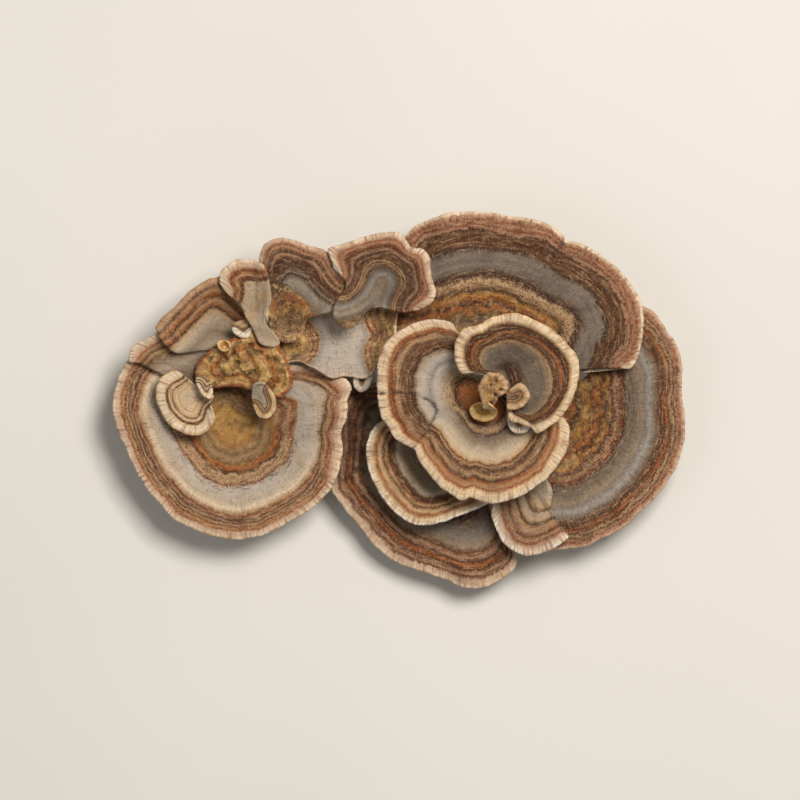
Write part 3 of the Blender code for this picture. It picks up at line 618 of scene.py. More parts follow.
def add_foot(cap, form, below, centre, away, radius, swept, level, skin):
    """The foot, flaring out of the underside and ending in the cut or in the cap below."""
    end = SOLE * radius
    sole = centre + away * end[:, None]
    if cap.on_wood:
        floor = np.full(len(sole), CUT_HEIGHT)
    else:
        floor = carrier_height(sole, centre, below) - GROWN_IN
    t = np.linspace(0.0, 1.0, FOOT_RINGS)[1:, None]
    size = end + (swept - end) * (1 - t) ** FLARE_BEND
    height = level + (floor - level) * t**DROP_BEND
    grain = form.grain(np.broadcast_to(10 * t, size.shape))
    spots = centre + away * size[..., None]
    skin.add(spots, height, grain, under=1.0, foot=smooth(t, 0.0, 0.5))
    inner = np.array(SOLE_RINGS)[:, None]
    spots = centre + (sole - centre) * inner[..., None]
    height = np.broadcast_to(floor, (len(inner), len(floor)))
    skin.add(spots, height, grain[-1:], under=1.0, foot=1.0, edge=NO_PORES)


def carrier_height(spots, centre, below):
    """Height of what carries a foot, the same all round where the carrier is missed."""
    step = max(1, len(spots) // SOLE_SAMPLES)
    found = [below.top(*spot) for spot in spots[::step]]
    lowest = min(height for height in found + [below.top(*centre)] if height is not None)
    coarse = np.array([lowest if height is None else height for height in found])
    along = np.arange(len(spots)) / step
    return np.interp(along, np.arange(len(coarse)), coarse, period=len(coarse))


def add_hanging_base(form, lift, inset, skin):
    """The plain underside of a cap that hangs below its carrier."""
    blend = np.linspace(1.0, 0.1, FOOT_RINGS)[1:, None]
    share = blend * inset
    spots = form.place(share)
    skin.add(spots, form.lower(share, lift), form.grain(share * form.reach.max()),
             zone=share, edge=(1 - share) * form.reach, under=1.0)


def hang_below(points, tree):
    """Bring a hanging cap up or down until it just enters the underside of its carrier."""
    room = []
    for x, y, z in points[::HANG_SAMPLE]:
        spot = tree.ray_cast(Vector((x, y, CUT_HEIGHT)), Vector((0, 0, 1)))[0]
        if spot is not None:
            room.append(spot.z - z)
    points[:, 2] += min(room) + GROWN_IN
    return points


def cap_surface(cap, below):
    """Points, faces and values of one whole cap."""
    count = int(Form(cap, PLAN_LINES).length / (STEP_ALONG * cap.coarse))
    form = Form(cap, count)
    lift = lift_table(cap, count, below)
    form.fray()
    skin = Skin()
    inset, spots, height, grain = add_top(cap, form, lift, skin)
    add_margin(cap, form, spots, height, grain, skin)
    if cap.hangs:
        add_hanging_base(form, lift, inset, skin)
    else:
        foot = add_underside(cap, form, lift, inset, skin)
        add_foot(cap, form, below, *foot, skin)
    points, faces, values, grain = skin.closed()
    if cap.hangs:
        points = hang_below(points, below.made[-1][0])
    return points, faces, values, grain


def build_mesh(cap, points, faces, values, grain):
    """The mesh of one cap, with the values its material reads."""
    mesh = bpy.data.meshes.new(cap.name)
    mesh.from_pydata((points * MM).tolist(), [], faces.tolist())
    mesh.shade_smooth()
    for name, column in values.items():
        layer = mesh.attributes.new(name, "FLOAT", "POINT")
        layer.data.foreach_set("value", column.astype(np.float32))
    layer = mesh.attributes.new("grain", "FLOAT_VECTOR", "POINT")
    layer.data.foreach_set("vector", grain.astype(np.float32).ravel())
    return mesh


def put_in_scene(name, data):
    """A new object of the scene."""
    thing = bpy.data.objects.new(name, data)
    bpy.context.scene.collection.objects.link(thing)
    return thing


def add_cap(cap, below):
    """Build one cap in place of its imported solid."""
    points, faces, values, grain = cap_surface(cap, below)
    below.add(points, faces)
    piece = put_in_scene("grown_" + cap.name, build_mesh(cap, points, faces, values, grain))
    piece.data.materials.append(tissue(cap))
    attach(piece, "root")
    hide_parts(cap.name)


def linear(name):
    """Linear RGBA of a named colour."""
    parts = srgb(name)
    return (*[((p + 0.055) / 1.055) ** 2.4 if p > 0.04 else p / 12.92 for p in parts], 1.0)


class Graph:
    """Short names for the shader nodes that the materials are made of."""

    def __init__(self, material):
        material.use_nodes = True
        self.tree = material.node_tree
        self.shader = self.tree.nodes["Principled BSDF"]

    def put(self, socket, value):
        if isinstance(value, bpy.types.NodeSocket):
            self.tree.links.new(value, socket)
        else:
            socket.default_value = value

    def surface(self, **values):
        """Set the shader's inputs; an underscore stands for a space."""
        for name, value in values.items():
            self.put(self.shader.inputs[name.replace("_", " ")], value)

    def make(self, kind, inputs=(), **settings):
        """A node with its settings, and its inputs by name or number."""
        node = self.tree.nodes.new("ShaderNode" + kind)
        for name, value in settings.items():
            setattr(node, name, value)
        for socket, value in dict(inputs).items():
            self.put(node.inputs[socket], value)
        return node

    def object_place(self):
        return self.make("TexCoord").outputs["Object"]

    def attribute(self, name, output="Fac"):
        return self.make("Attribute", attribute_name=name).outputs[output]

    def math(self, operation, *values, clamp=False):
        return self.make("Math", enumerate(values), operation=operation, use_clamp=clamp).outputs[0]

    def times(self, a, b):
        return self.math("MULTIPLY", a, b)

    def step(self, value, low, high, to_low=0.0, to_high=1.0):
        """A soft step from to_low at low to to_high at high."""
        names = ("Value", "From Min", "From Max", "To Min", "To Max")
        inputs = zip(names, (value, low, high, to_low, to_high))
        return self.make("MapRange", inputs, interpolation_type="SMOOTHSTEP").outputs["Result"]

    def scaled(self, vector, x, y, z):
        return self.make("VectorMath", {0: vector, 1: (x, y, z)}, operation="MULTIPLY").outputs[0]

    def noise(self, vector, scale, detail=2.0, roughness=0.5):
        inputs = {"Vector": vector, "Scale": scale, "Detail": detail, "Roughness": roughness}
        return self.make("TexNoise", inputs).outputs["Fac"]

    def streaks(self, grain, length, scale, detail=2.0, roughness=0.5):
        """Noise drawn out along the fibres; a smaller length makes longer streaks."""
        return self.noise(self.scaled(grain, 1.0, 1.0, length), scale, detail, roughness)

    def cells(self, vector, scale):
        return self.make("TexVoronoi", {"Vector": vector, "Scale": scale}).outputs["Distance"]

    def mix(self, factor, a, b):
        """Blend from a to b; each is a colour's name or a socket."""
        node = self.make("Mix", {0: factor}, data_type="RGBA")
        colours = [socket for socket in node.inputs if socket.type == "RGBA"]
        for socket, colour in zip(colours, (a, b)):
            self.put(socket, linear(colour) if isinstance(colour, str) else colour)
        return next(socket for socket in node.outputs if socket.type == "RGBA")

    def tinted(self, colour, tint, value, low, high, strength=1.0):
        """The colour, with the tint where the value is past a soft step."""
        return self.mix(self.step(value, low, high, 0.0, strength), colour, tint)

    def bands(self, value, stops):
        """Colour and speckle of the bands."""
        node = self.make("ValToRGB", {"Fac": value})
        elements = node.color_ramp.elements
        while len(elements) < len(stops):
            elements.new(1.0)
        for element, (place, colour, speckle) in zip(elements, stops):
            element.position = place
            element.color = (*linear(colour)[:3], speckle)
        return node.outputs["Color"], node.outputs["Alpha"]


def banded_top(graph, cap, spot, grain):
    """Colour and fine height of the upper face."""
    zone = graph.attribute("zone")
    jitter = graph.streaks(grain, 0.3, 1.3, 5.0, 0.7)
    stray = graph.times(graph.math("SUBTRACT", jitter, 0.5), graph.step(zone, 0.1, 0.5))
    zone = graph.math("MULTIPLY_ADD", stray, cap.jagged, zone)
    colour, speckle = graph.bands(zone, cap.bands)
    if cap.other:
        turn = graph.attribute("turn")
        other, other_speckle = graph.bands(zone, cap.other)
        if cap.mottled_other:
            other = mottled(graph, spot, other)
        colour = graph.mix(turn, colour, other)
        speckle = graph.mix(turn, speckle, other_speckle)
    tint, strength = cap.blotch
    colour = graph.tinted(colour, tint, graph.noise(spot, 0.16, 3.0, 0.6), 0.46, 0.68, strength)
    rings = graph.noise(graph.scaled(grain, 0.1, 0.1, 1.0), 2.3, 3.0, 0.7)
    banded = graph.step(speckle, 0.05, 0.35, 0.25, 1.0)
    dark_rings = graph.times(graph.step(rings, 0.53, 0.63, 0.0, 0.7), banded)
    colour = graph.mix(dark_rings, colour, "umber")
    pale_rings = graph.times(graph.step(rings, 0.46, 0.36, 0.0, 0.45), banded)
    colour = graph.mix(pale_rings, colour, "sand")
    rays = graph.streaks(grain, 0.14, 2.6, 4.0, 0.7)
    where = graph.noise(grain, 0.3)
    threads = graph.times(graph.step(rays, 0.56, 0.68, 0.0, cap.fibrils),
                          graph.step(where, 0.35, 0.6, 0.35, 1.0))
    colour = graph.mix(threads, colour, "plum")
    colour = graph.tinted(colour, "sand", rays, 0.45, 0.3, 0.3)
    dots = graph.streaks(grain, 0.5, 2.3, 3.0, 0.75)
    patchy = graph.times(speckle, graph.step(where, 0.62, 0.38, 0.45, 1.0))
    colour = graph.mix(graph.times(graph.step(dots, 0.52, 0.6), patchy), colour, "red_brown")
    light = graph.times(graph.step(dots, 0.45, 0.36), patchy)
    light = graph.times(light, graph.step(speckle, 0.1, 0.8, 0.15, 0.8))
    colour = graph.mix(light, colour, "cream")
    if cap.mottled:
        inside = graph.step(zone, cap.mottled, cap.mottled - 0.05, 0.0, cap.mottling)
        colour = graph.mix(inside, colour, mottled(graph, spot, colour))
    specks = graph.noise(spot, 1.3, 5.0, 0.85)
    colour = graph.tinted(colour, "umber", specks, 0.585, 0.65, 0.6)
    colour = graph.tinted(colour, "pale_rim", specks, 0.42, 0.36, 0.3)
    height = graph.math("MULTIPLY_ADD", rays, 0.6, graph.times(dots, 0.5))
    return colour, graph.math("MULTIPLY_ADD", rings, 0.5, height)


def mottled(graph, spot, colour):
    """Dark, rusty and pale yellow patches of the lumpy tissue."""
    broad = graph.noise(spot, 0.3, 4.0, 0.7)
    colour = graph.tinted(colour, "rust", broad, 0.56, 0.62, 0.7)
    colour = graph.tinted(colour, "yellow", broad, 0.47, 0.39, 0.75)
    fine = graph.noise(spot, 0.8, 4.0, 0.75)
    colour = graph.tinted(colour, "red_brown", fine, 0.57, 0.62, 0.75)
    colour = graph.tinted(colour, "yellow", fine, 0.44, 0.38, 0.6)
    return graph.tinted(colour, "plum", graph.noise(spot, 0.42, 4.0, 0.6), 0.55, 0.6, 0.8)


def pale_margin(graph, cap, colour, grain):
    """Fade the bands into the pale margin, with its fine stripes across."""
    edge = graph.attribute("edge")
    wander = graph.streaks(grain, 0.2, 0.8)
    near = graph.math("MULTIPLY_ADD", graph.math("SUBTRACT", wander, 0.5), 1.1, edge)
    patchy = graph.streaks(grain, 0.4, 0.32, 3.0, 0.6)
    rim = graph.tinted(cap.margin_colour, "tan", patchy, 0.46, 0.62, 0.6)
    colour = graph.tinted(colour, rim, near, 0.8 * cap.margin_width, 0.1 * cap.margin_width)
    stripes = graph.streaks(grain, 0.05, 1.5, 2.0, 0.6)
    strength = graph.step(edge, 3.2, 0.6, 0.0, 0.6)
    colour = graph.mix(graph.times(graph.step(stripes, 0.5, 0.62), strength), colour, "pink_tan")
    slits = graph.times(graph.step(stripes, 0.61, 0.7, 0.0, 0.65), strength)
    return graph.mix(slits, colour, "dull_brown")


def pored_base(graph, spot, grain):
    """Colour and fine height of the pored underside and of the foot."""
    pores = graph.cells(spot, 2.4)
    edge = graph.attribute("edge")
    opening = graph.times(graph.step(pores, 0.42, 0.16), graph.step(edge, 0.4, 1.6))
    colour = graph.tinted("pores", "sand", graph.noise(spot, 0.12, 3.0), 0.4, 0.7)
    # Painted shade in the pore openings, which the fine height also sinks
    colour = graph.mix(graph.times(opening, 0.6), colour, "dull_brown")
    foot = graph.attribute("foot")
    strands = graph.streaks(grain, 0.3, 1.8, 3.0, 0.6)
    colour = graph.mix(foot, colour, graph.tinted("cut_tissue", "sand", strands, 0.4, 0.65))
    height = graph.times(opening, graph.math("SUBTRACT", 1.0, foot))
    return colour, graph.math("MULTIPLY_ADD", strands, 0.8, graph.times(height, -0.8))


def tissue(cap):
    """Velvety banded fungus tissue, pale and pored below."""
    material = bpy.data.materials.new("tissue_" + cap.name)
    graph = Graph(material)
    spot = graph.scaled(graph.object_place(), 1 / MM, 1 / MM, 1 / MM)
    grain = graph.attribute("grain", "Vector")
    colour, height = banded_top(graph, cap, spot, grain)
    colour = pale_margin(graph, cap, colour, grain)
    # Painted shade: the pits, the sunk lines and the shaded hollows are darkened towards near black
    mark = graph.attribute("mark")
    colour = graph.mix(graph.math("MULTIPLY", mark, 0.85, clamp=True), colour, "soot")
    under = graph.attribute("under")
    base, base_height = pored_base(graph, spot, grain)
    rise = graph.math("ADD", graph.times(base_height, under),
                      graph.times(height, graph.math("SUBTRACT", 1.0, under)))
    bump = graph.make("Bump", {"Strength": 1.0, "Distance": BUMP_DEPTH * MM, "Height": rise})
    graph.surface(
        Base_Color=graph.mix(under, colour, base), Normal=bump.outputs["Normal"],
        Roughness=graph.step(graph.noise(spot, 1.2), 0.3, 0.7, 0.72, 0.95),
        Specular_IOR_Level=0.2, Sheen_Weight=0.04, Sheen_Roughness=0.6,
    )
    return material


# Lines sunk into the caps and darkened with painted shade, each with its depth and its half width
BACK_STEP = (((41.5, 41.0), (40.0, 38.0), (38.5, 36.5), (37.5, 34.0)), 0.7, 0.45)
FAN_FOLD = (((31.4, -20.5), (32.2, -24.0), (33.4, -28.5), (33.8, -31.0)), 0.9, 0.9)
LOBE_CRACK = (
    ((-6.0, 1.6), (-3.0, 1.5), (0.0, 1.8), (3.0, 1.5), (5.2, 0.8), (7.0, 0.0), (8.3, -1.0),
     (9.2, -2.8), (8.4, -4.8), (7.2, -6.5)),
    0.9, 0.3,
)
# Painted shade in the bowl of the rosette, under the overhanging front of the core
BOWL_SHADE = (((-45.5, 3.6), (-42.5, 4.2), (-39.5, 3.0), (-36.5, 1.5)), 0.6, 1.9)
LOBE_SEAM = (((2.6, -12.4), (4.2, -10.6), (6.0, -8.6), (7.4, -7.2)), 0.4, 0.3)
# Painted shade in the hollow of the lowest cap, between the rosette and the tiers above
CAVE_SHADE = (((-13.0, 3.0), (-10.0, 1.0), (-9.5, -3.0), (-12.5, -9.0), (-13.0, -15.0)), 0.8, 4.2)

# From the lowest tier to the highest: each cap is shaped over those before it
CAPS = (
    # Lowest cap, mostly in the shade of the others
    Cap(
        "bottom_cap", ((11.25, -12.0),), 5.2, (11.25, -12.0, 6.0), 35.0,
        margin="""
        -69 -89 9.5, -58 -107 9, -42 -125 8.5, -28 -143 8, -10 -160 8, 12 -169 8, 35 -176 8.5,
        50 -182 8.5, 64 -188 9, 80 -188.4 9, 97 -183 9, 110 -173 9.5, 118.4 -161 9.5, 112 -150 9,
        100 -130 8, 90 -105 7, 84 -80 6.5, 78 -55 6.5, 62 -30 6.5, 40 -15 7, 15 0 7.5, -8 12 8,
        -30 20 8.5, -50 16 9, -62 0 9.5, -67 -30 10, -70 -60 10""",
        bands="""
        0 umber 3, 300 plum 4, 420 red_brown 8, 500 umber 7, 560 slate 2, 660 dim_grey 0,
        730 warm_grey 1, 770 brown 4, 800 pink_tan 2, 830 umber 4, 860 rust 5, 885 umber 4,
        910 pink_tan 3, 935 brown 4, 955 pink_rim 0, 1000 pale_rim 0""",
        on_wood=True, body=4.4, coarse=1.35, blotch=("umber", 0.3), cracks=(CAVE_SHADE,),
    ),
    # Broad round rosette with a bowl-shaped middle
    Cap(
        "left_rosette", ((-42.0, -6.25),), 7.2, (-42.0, -6.25, 9.0), 28.5,
        margin="""
        -273 40 12, -283 18 13, -287.6 -5 14, -284 -25 14, -274 -50 13.5, -262 -75 13, -247 -97 13,
        -225 -120 13, -195 -134 13, -162 -140 13, -130 -132 13.5, -100 -116 14, -82 -103 14.5,
        -69 -90 15, -61 -70 15.5, -57 -47 15.5, -60 -33 16, -53 -18 17, -52 0 17, -49 13 16.5,
        -59 24.8 15, -82 33.6 12.5, -110 36.8 11.2, -138 50 10, -172 80 10.5, -205 80 11,
        -240 62 11.5, -262 50 12""",
        bands="""
        0 gold 0, 140 gold 0, 200 ochre 0, 235 tan 1, 270 olive 1, 310 tan 2, 360 olive 3,
        400 orange 3, 430 red_brown 4, 445 soot 5, 465 sand 8, 500 tan 10, 530 sand 10,
        550 red_brown 10, 575 pale_grey 6, 610 pale_grey 1, 700 ash 0, 750 pale_rim 0, 790 tan 2,
        810 red_brown 6, 825 pink_tan 2, 842 umber 4, 858 pink_tan 3, 870 umber 4, 885 tan 3,
        900 red_brown 8, 917 tan 6, 935 rust 4, 950 pink_rim 1, 1000 pale_rim 0""",
        other="""
        0 ochre 2, 200 olive 4, 300 orange 5, 360 ochre 7, 400 sand 8, 430 rust 8, 460 red_brown 8,
        490 sand 9, 520 rust 8, 550 red_brown 9, 570 sand 6, 590 pale_grey 1, 700 pale_grey 0,
        780 ash 1, 820 brown 5, 850 tan 4, 875 red_brown 6, 910 pink_tan 3, 940 pink_rim 1,
        1000 pale_rim 0""",
        on_wood=True, crown=1.2, coarse=1.1, mottled=0.3, mottling=0.4, wavy=1.6,
        blotch=("tan", 0.3), turn=((-33.0, -8.0), (-30.0, -4.5)), cracks=(BOWL_SHADE,),
    ),
    # Wide low cap on the right
    Cap(
        "right_cap", ((38.0, -1.25),), 6.6, (39.5, -1.25, 6.5), 32.0,
        margin="""
        243 94 12, 255 86 12, 268 69 12, 278 53 12.5, 282 30 12.5, 283 0 12, 286 -25 12,
        284 -45 11.5, 275 -70 11.5, 260 -92 12, 245 -108 12, 228 -124 12.5, 208 -136 12.5,
        190 -145.6 12.5, 170 -149.6 12, 145 -150 11.5, 120 -140 11, 105 -118 10.5, 97 -95 10,
        97 -70 9.5, 114 -40 8.5, 126 -12 8, 134 12 8, 150 35 9, 180 60 10, 210 82 11,
        228 92 11.5""",
        bands="""
        0 ochre 2, 100 olive 4, 150 orange 3, 190 umber 4, 220 olive 4, 270 ochre 4, 310 brown 6,
        340 orange 4, 380 umber 5, 410 ochre 5, 440 red_brown 7, 460 soot 6, 480 tan 9,
        520 red_brown 10, 545 umber 8, 570 slate 4, 620 slate 1, 670 warm_grey 0, 700 dim_grey 1,
        735 cool_grey 0, 780 slate 1, 800 dull_brown 4, 825 umber 5, 850 brown 6, 870 rust 4,
        890 umber 5, 910 tan 4, 925 umber 4, 940 pink_tan 3, 955 red_brown 3, 972 pink_tan 1,
        1000 pink_rim 0""",
        on_wood=True, crown=1.2, coarse=1.2, margin_colour="pink_rim", margin_width=0.6,
        mottled=0.46, mottling=0.45, wavy=2.1, blotch=("slate", 0.3), jagged=0.08,
    ),
    # Widest cap, along the back of the cluster, with one torn step in its margin
    Cap(
        "upper_back_cap", ((21.25, 3.75),), 9.0, (21.25, 4.0, 6.0), 43.0,
        margin="""
        -2 55 9.5, -8 80 10, -8 105 11, -3 138 14, 5 163 17, 14 174 17.5, 28 180.4 18, 45 185.6 18,
        65 188.4 18, 90 187.6 17.5, 115 183.6 17, 138 180 17, 152 174 17.5, 163 164 18, 166 160 17,
        180 157 16.5, 200 146 16, 219 131 16, 232 114 15.5, 241 98 15.5, 244 80 16, 242 58 16,
        237 39 16, 229 31 15.5, 220 36 15, 212 46 14.5, 200 40 14, 185 22 12, 160 8 11, 135 -3 10.5,
        110 -9 9.5, 85 -11 9.5, 62 -2 9.5, 40 15 9.5, 18 40 9.5""",
        bands="""
        0 olive 2, 300 olive 4, 380 ochre 3, 420 slate 3, 470 olive 4, 500 orange 4, 530 umber 5,
        550 rust 4, 575 ochre 5, 600 umber 6, 625 tan 10, 650 sand 10, 670 umber 9, 690 plum 4,
        720 slate 1, 745 dim_grey 0, 765 slate 0, 790 dim_grey 0, 810 slate 1, 830 soot 4,
        850 dull_brown 4, 870 brown 4, 885 umber 4, 905 dull_brown 4, 920 umber 3, 935 pink_tan 4,
        950 red_brown 3, 962 pink_tan 3, 975 red_brown 2, 985 pink_tan 1, 1000 pink_rim 0""",
        on_wood=True, crown=1.0, coarse=1.3, margin_width=0.55, blotch=("umber", 0.3),
        cracks=(BACK_STEP,), jagged=0.06, mottled=0.6, mottling=0.45, wavy=1.8, lead=(4, 24),
    ),
    # Grey plate that joins the two halves, with a growth line between its two hubs
    Cap(
        "joining_plate", ((-25.0, 14.5), (-6.0, 16.25)), 10.5, (-15.0, 17.0, 5.0), 12.0,
        margin="""
        -142 62 13, -134 48 13.5, -118 36 14.5, -102 38 15.5, -88 32 16.5, -78 26 17, -69 21 17,
        -57 23 17, -45 22 17, -36 21 17, -29 24 17, -23 33 16.5, -12 44 14, -4 60 13, -3 78 13,
        -2 98 13, -12 116 13.5, -32 124 13.5, -56 124 13, -82 118 13, -108 110 13, -128 98 13,
        -142 80 13""",
        bands="""
        0 ochre 5, 120 olive 5, 200 gold 6, 280 olive 7, 360 tan 6, 410 rust 9, 450 sand 10,
        500 red_brown 9, 540 sand 4, 570 cool_grey 1, 680 pale_grey 0, 1000 pale_grey 0""",
        on_wood=True, body=4.0, crown=0.4, blotch=("warm_grey", 0.3), fibrils=0.8, mottled=0.52,
        centres=((-26.5, 14.5, 12.0), (-1.5, 21.5, 14.5), (-2.5, 11.5, 12.5)),
    ),
    # Tiny white-edged cap under the tip of the plate
    Cap(
        "middle_bud_cap", ((-9.5, 5.0),), 14.0, (-9.5, 5.0, 1.0), 3.4,
        margin="""
        -47 21 13.5, -46 13 13, -40 7.6 13, -33 10 13, -29 17 13.5, -28 24 14, -38 29 14,
        -45 27 14""",
        bands="""
        0 umber 2, 500 brown 3, 620 tan 2, 700 white_rim 0, 1000 white_rim 0""",
        hangs=True, rim=0.9, body=1.4, crown=0.2, lead=(0, 5), margin_colour="white_rim",
        margin_width=0.6, coarse=0.6, ragged=0.15, fibrils=0.2,
    ),
    # Dark cap at the top left of the plate
    Cap(
        "upper_dark_cap", ((-28.25, 19.5),), 15.2, (-28.25, 19.5, 3.0), 17.0,
        margin="""
        -132 82 18.5, -134 100 19.5, -135 117 20.5, -140 132 21.5, -140 146 22, -133 157 22.5,
        -120 161.6 22.5, -107 160 22, -92 153.6 21.5, -79 150.4 21, -71 147 20.5, -65 132 20,
        -55 119 20, -58 104 20, -68 89 20, -80 85 19.5, -93 80 19, -97 65 18, -110 57 17.5,
        -125 62 17.5""",
        bands="""
        0 warm_grey 3, 250 warm_grey 2, 330 blue_grey 1, 420 warm_grey 1, 500 blue_grey 1,
        560 blue_grey 0, 600 slate 2, 630 soot 4, 650 warm_grey 2, 690 plum 4, 730 dull_brown 4,
        770 umber 3, 810 brown 4, 840 pink_tan 3, 870 umber 3, 900 dull_brown 3, 925 pink_tan 2,
        945 red_brown 2, 965 pink_tan 1, 1000 pink_rim 0""",
        other="""
        0 tan 9, 200 olive 9, 300 ochre 8, 380 orange 6, 440 ochre 10, 500 olive 10, 580 umber 9,
        1000 umber 6""",
        body=3.4, lead=(3, 12), mottled_other=True, margin_colour="pink_rim", margin_width=0.7,
        blotch=("plum", 0.2), turn=((-26.2, 26.7), (-26.9, 26.0)),
    ),
    # Kidney-shaped cap above the plate, its right end curling over the back cap
    Cap(
        "middle_cap", ((-3.75, 26.0),), 16.4, (-5.0, 25.5, 2.8), 15.5,
        margin="""
        -55 72 19.5, -65 80 20.5, -67 89 21, -61 102 22, -54 115 22.5, -60 125 22.5, -69 140 22,
        -72 150 21.5, -62 154.4 22, -48 158.4 22.5, -34 164 23, -15 167 23, 2 165 22.5, 11 153 21.5,
        24 150 21, 30 140 20.5, 31 124 20.5, 36 108 20, 30 96 20, 16 89 19.5, 0 87 19, -14 91 18.5,
        -28 91 18.5, -38 86 19, -44 74 19""",
        bands="""
        0 ochre 5, 140 tan 9, 220 olive 5, 300 slate 2, 360 blue_grey 0, 420 warm_grey 2,
        470 cool_grey 0, 540 slate 1, 580 dull_brown 4, 610 tan 4, 630 brown 4, 645 sand 5,
        665 brown 5, 720 dull_brown 5, 760 umber 3, 800 pink_tan 3, 830 brown 4, 870 red_brown 3,
        900 pink_tan 2, 930 rust 2, 955 pink_rim 0, 1000 pale_rim 0""",
        body=3.6, lead=(5, 19), margin_width=0.9, blotch=("umber", 0.25),
    ),
    # Short lobe that overlaps the rosette on its upper left
    Cap(
        "west_lobe", ((-48.75, 8.5),), 12.0, (-49.0, 9.0, 2.6), 17.0,
        margin="""
        -272 39 15, -269 50 15, -260 58.4 15.5, -247 65 16, -239 70 16, -220 66 15, -195 55 14,
        -180 38 13.5, -186 22 13, -205 17 13, -225 21 13.5, -238 25 14.5, -254 34 15,
        -264 37 15""",
        bands="""
        0 ochre 3, 200 red_brown 8, 300 warm_grey 3, 450 warm_grey 0, 600 ash 0, 700 warm_grey 2,
        760 dull_brown 3, 800 tan 1, 840 brown 4, 880 tan 1, 910 rust 3, 935 pink_rim 0,
        1000 pale_rim 0""",
        body=2.6, crown=0.5, lead=(0, 5), blotch=("tan", 0.25),
    ),
    # Second lobe of the rosette, overlapping the first
    Cap(
        "north_west_lobe", ((-43.0, 17.0),), 13.0, (-44.0, 17.2, 2.4), 16.0,
        margin="""
        -244 70 17.5, -237 82 18, -229 90 18, -216 103 18.5, -202 115 19, -188 122 19,
        -178 123 18.5, -162 112 17, -150 95 16, -145 75 15, -153 63 14.5, -168 56 14, -188 51 14.5,
        -205 48 15.5, -222 47 16.5, -234 54 17""",
        bands="""
        0 ochre 3, 100 red_brown 8, 180 olive 6, 280 ash 2, 420 warm_grey 0, 550 ash 0, 630 sand 1,
        680 umber 3, 715 rust 3, 760 tan 2, 800 brown 4, 840 rust 3, 880 tan 2, 920 brown 3,
        950 pink_tan 0, 1000 pale_rim 0""",
        body=2.8, lead=(0, 8), margin_colour="tan", blotch=("sand", 0.3),
    ),
    # Lumpy ochre tissue in the middle of the rosette, arching over its bowl
    Cap(
        "left_core", ((-39.25, 9.0),), 17.0, (-39.5, 8.0, 4.2), 9.0,
        margin="""
        -203 30 16.5, -202 20 16, -194 14 15.5, -186 12 15.5, -178 14 15.5, -162 15 15.5,
        -150 10 15, -138 9 15, -126 2 13.5, -113 5 13.5, -107 25 15, -112 36 15.5, -120 50 16,
        -125 62 16.5, -140 70 17, -160 64 17, -178 58 16.5, -195 45 16.5""",
        bands="""
        0 yellow 3, 250 gold 4, 400 yellow 4, 550 orange 5, 700 gold 4, 850 yellow 3,
        1000 ochre 2""",
        rim=2.6, body=5.0, crown=1.0, lumps=0.7, margin_colour="rust", margin_width=0.4, pitted=0.9,
        mottled=2.0, mottling=0.5, fibrils=0.15, blotch=("rust", 0.5), ragged=1.0, coarse=0.7,
    ),
    # Tiny pale cap below the neck of the upper left cap
    Cap(
        "left_bud_cap", ((-38.25, 17.75),), 18.4, (-38.6, 17.5, 1.4), 3.0,
        margin="""
        -168 73 18.2, -166 67 17.7, -160 62.4 17.7, -152 62 17.7, -148.4 66.8 17.7, -146.4 72.8 18,
        -148 78 18, -155 80 18, -164 78 18.2""",
        bands="""
        0 tan 2, 300 sand 2, 420 brown 4, 500 pink_tan 2, 560 brown 3, 630 white_rim 0,
        1000 white_rim 0""",
        rim=0.9, body=1.2, crown=0.2, lead=(1, 4), margin_colour="white_rim", margin_width=0.6,
        coarse=0.6, ragged=0.12, fibrils=0.2,
    ),
    # Tiny yellow lip on the core
    Cap(
        "core_bud_cap", ((-43.75, 13.6),), 18.0, (-43.75, 13.4, 0.8), 1.8,
        margin="""
        -182 58 17.7, -181 51 17.7, -175 48 17.7, -169 52 17.7, -170 58 18, -176 60 18""",
        bands="""
        0 ochre 2, 500 gold 1, 700 yellow 0, 1000 yellow 0""",
        rim=0.8, body=1.0, crown=0.1, lead=(0, 4), margin_colour="yellow", margin_width=0.3,
        coarse=0.5, ragged=0.1, fibrils=0.1,
    ),
    # Fan on a narrow neck, at the upper left of the core
    Cap(
        "upper_left_cap", ((-35.5, 18.0), (-35.75, 22.0)), 20.0, (-33.2, 16.0, 1.6), 10.0,
        margin="""
        -154 82 20.6, -160 95 20.2, -172 106 20.2, -180 117 20.7, -178 129 20.7, -170 136 20.7,
        -160 140.4 20.7, -148 140.4 21.2, -138 136 23, -132 127 23.2, -129 112 23, -128 99 22.7,
        -133 88 21.5, -134 78 20.1, -127 69 19.8, -120 57 19.2, -128 53 18.9, -140 56 19.5,
        -145.6 69.6 20.8""",
        bands="""
        0 ash 1, 200 sand 1, 450 ash 1, 550 sand 2, 600 umber 4, 650 red_brown 4, 700 tan 4,
        750 rust 4, 790 brown 4, 830 rust 3, 870 pink_rim 1, 1000 pale_rim 0""",
        rim=1.2, body=1.8, crown=0.4, lead=(2, 8), blotch=("sand", 0.3),
    ),
    # Pale cream fan over the left of the rosette
    Cap(
        "left_fan_cap", ((-49.5, 0.5),), 14.8, (-50.0, 0.2, 2.2), 9.5,
        margin="""
        -210 20 17, -223 29 17.5, -234 26 17.5, -242 17 17.5, -244.4 3 17, -240 -11 16.5,
        -230 -25 16, -217 -33 16, -202 -35 16, -192 -31 16, -185 -20 16.5, -186 -11 17, -189 -3 17,
        -186 4 16.5, -195 9 16.5""",
        bands="""
        0 cream 0, 350 pale_rim 0, 500 cream 1, 530 sand 3, 570 cream 1, 650 sand 2, 675 brown 4,
        700 sand 3, 740 cream 2, 770 red_brown 6, 800 umber 5, 840 cream 1, 1000 white_rim 0""",
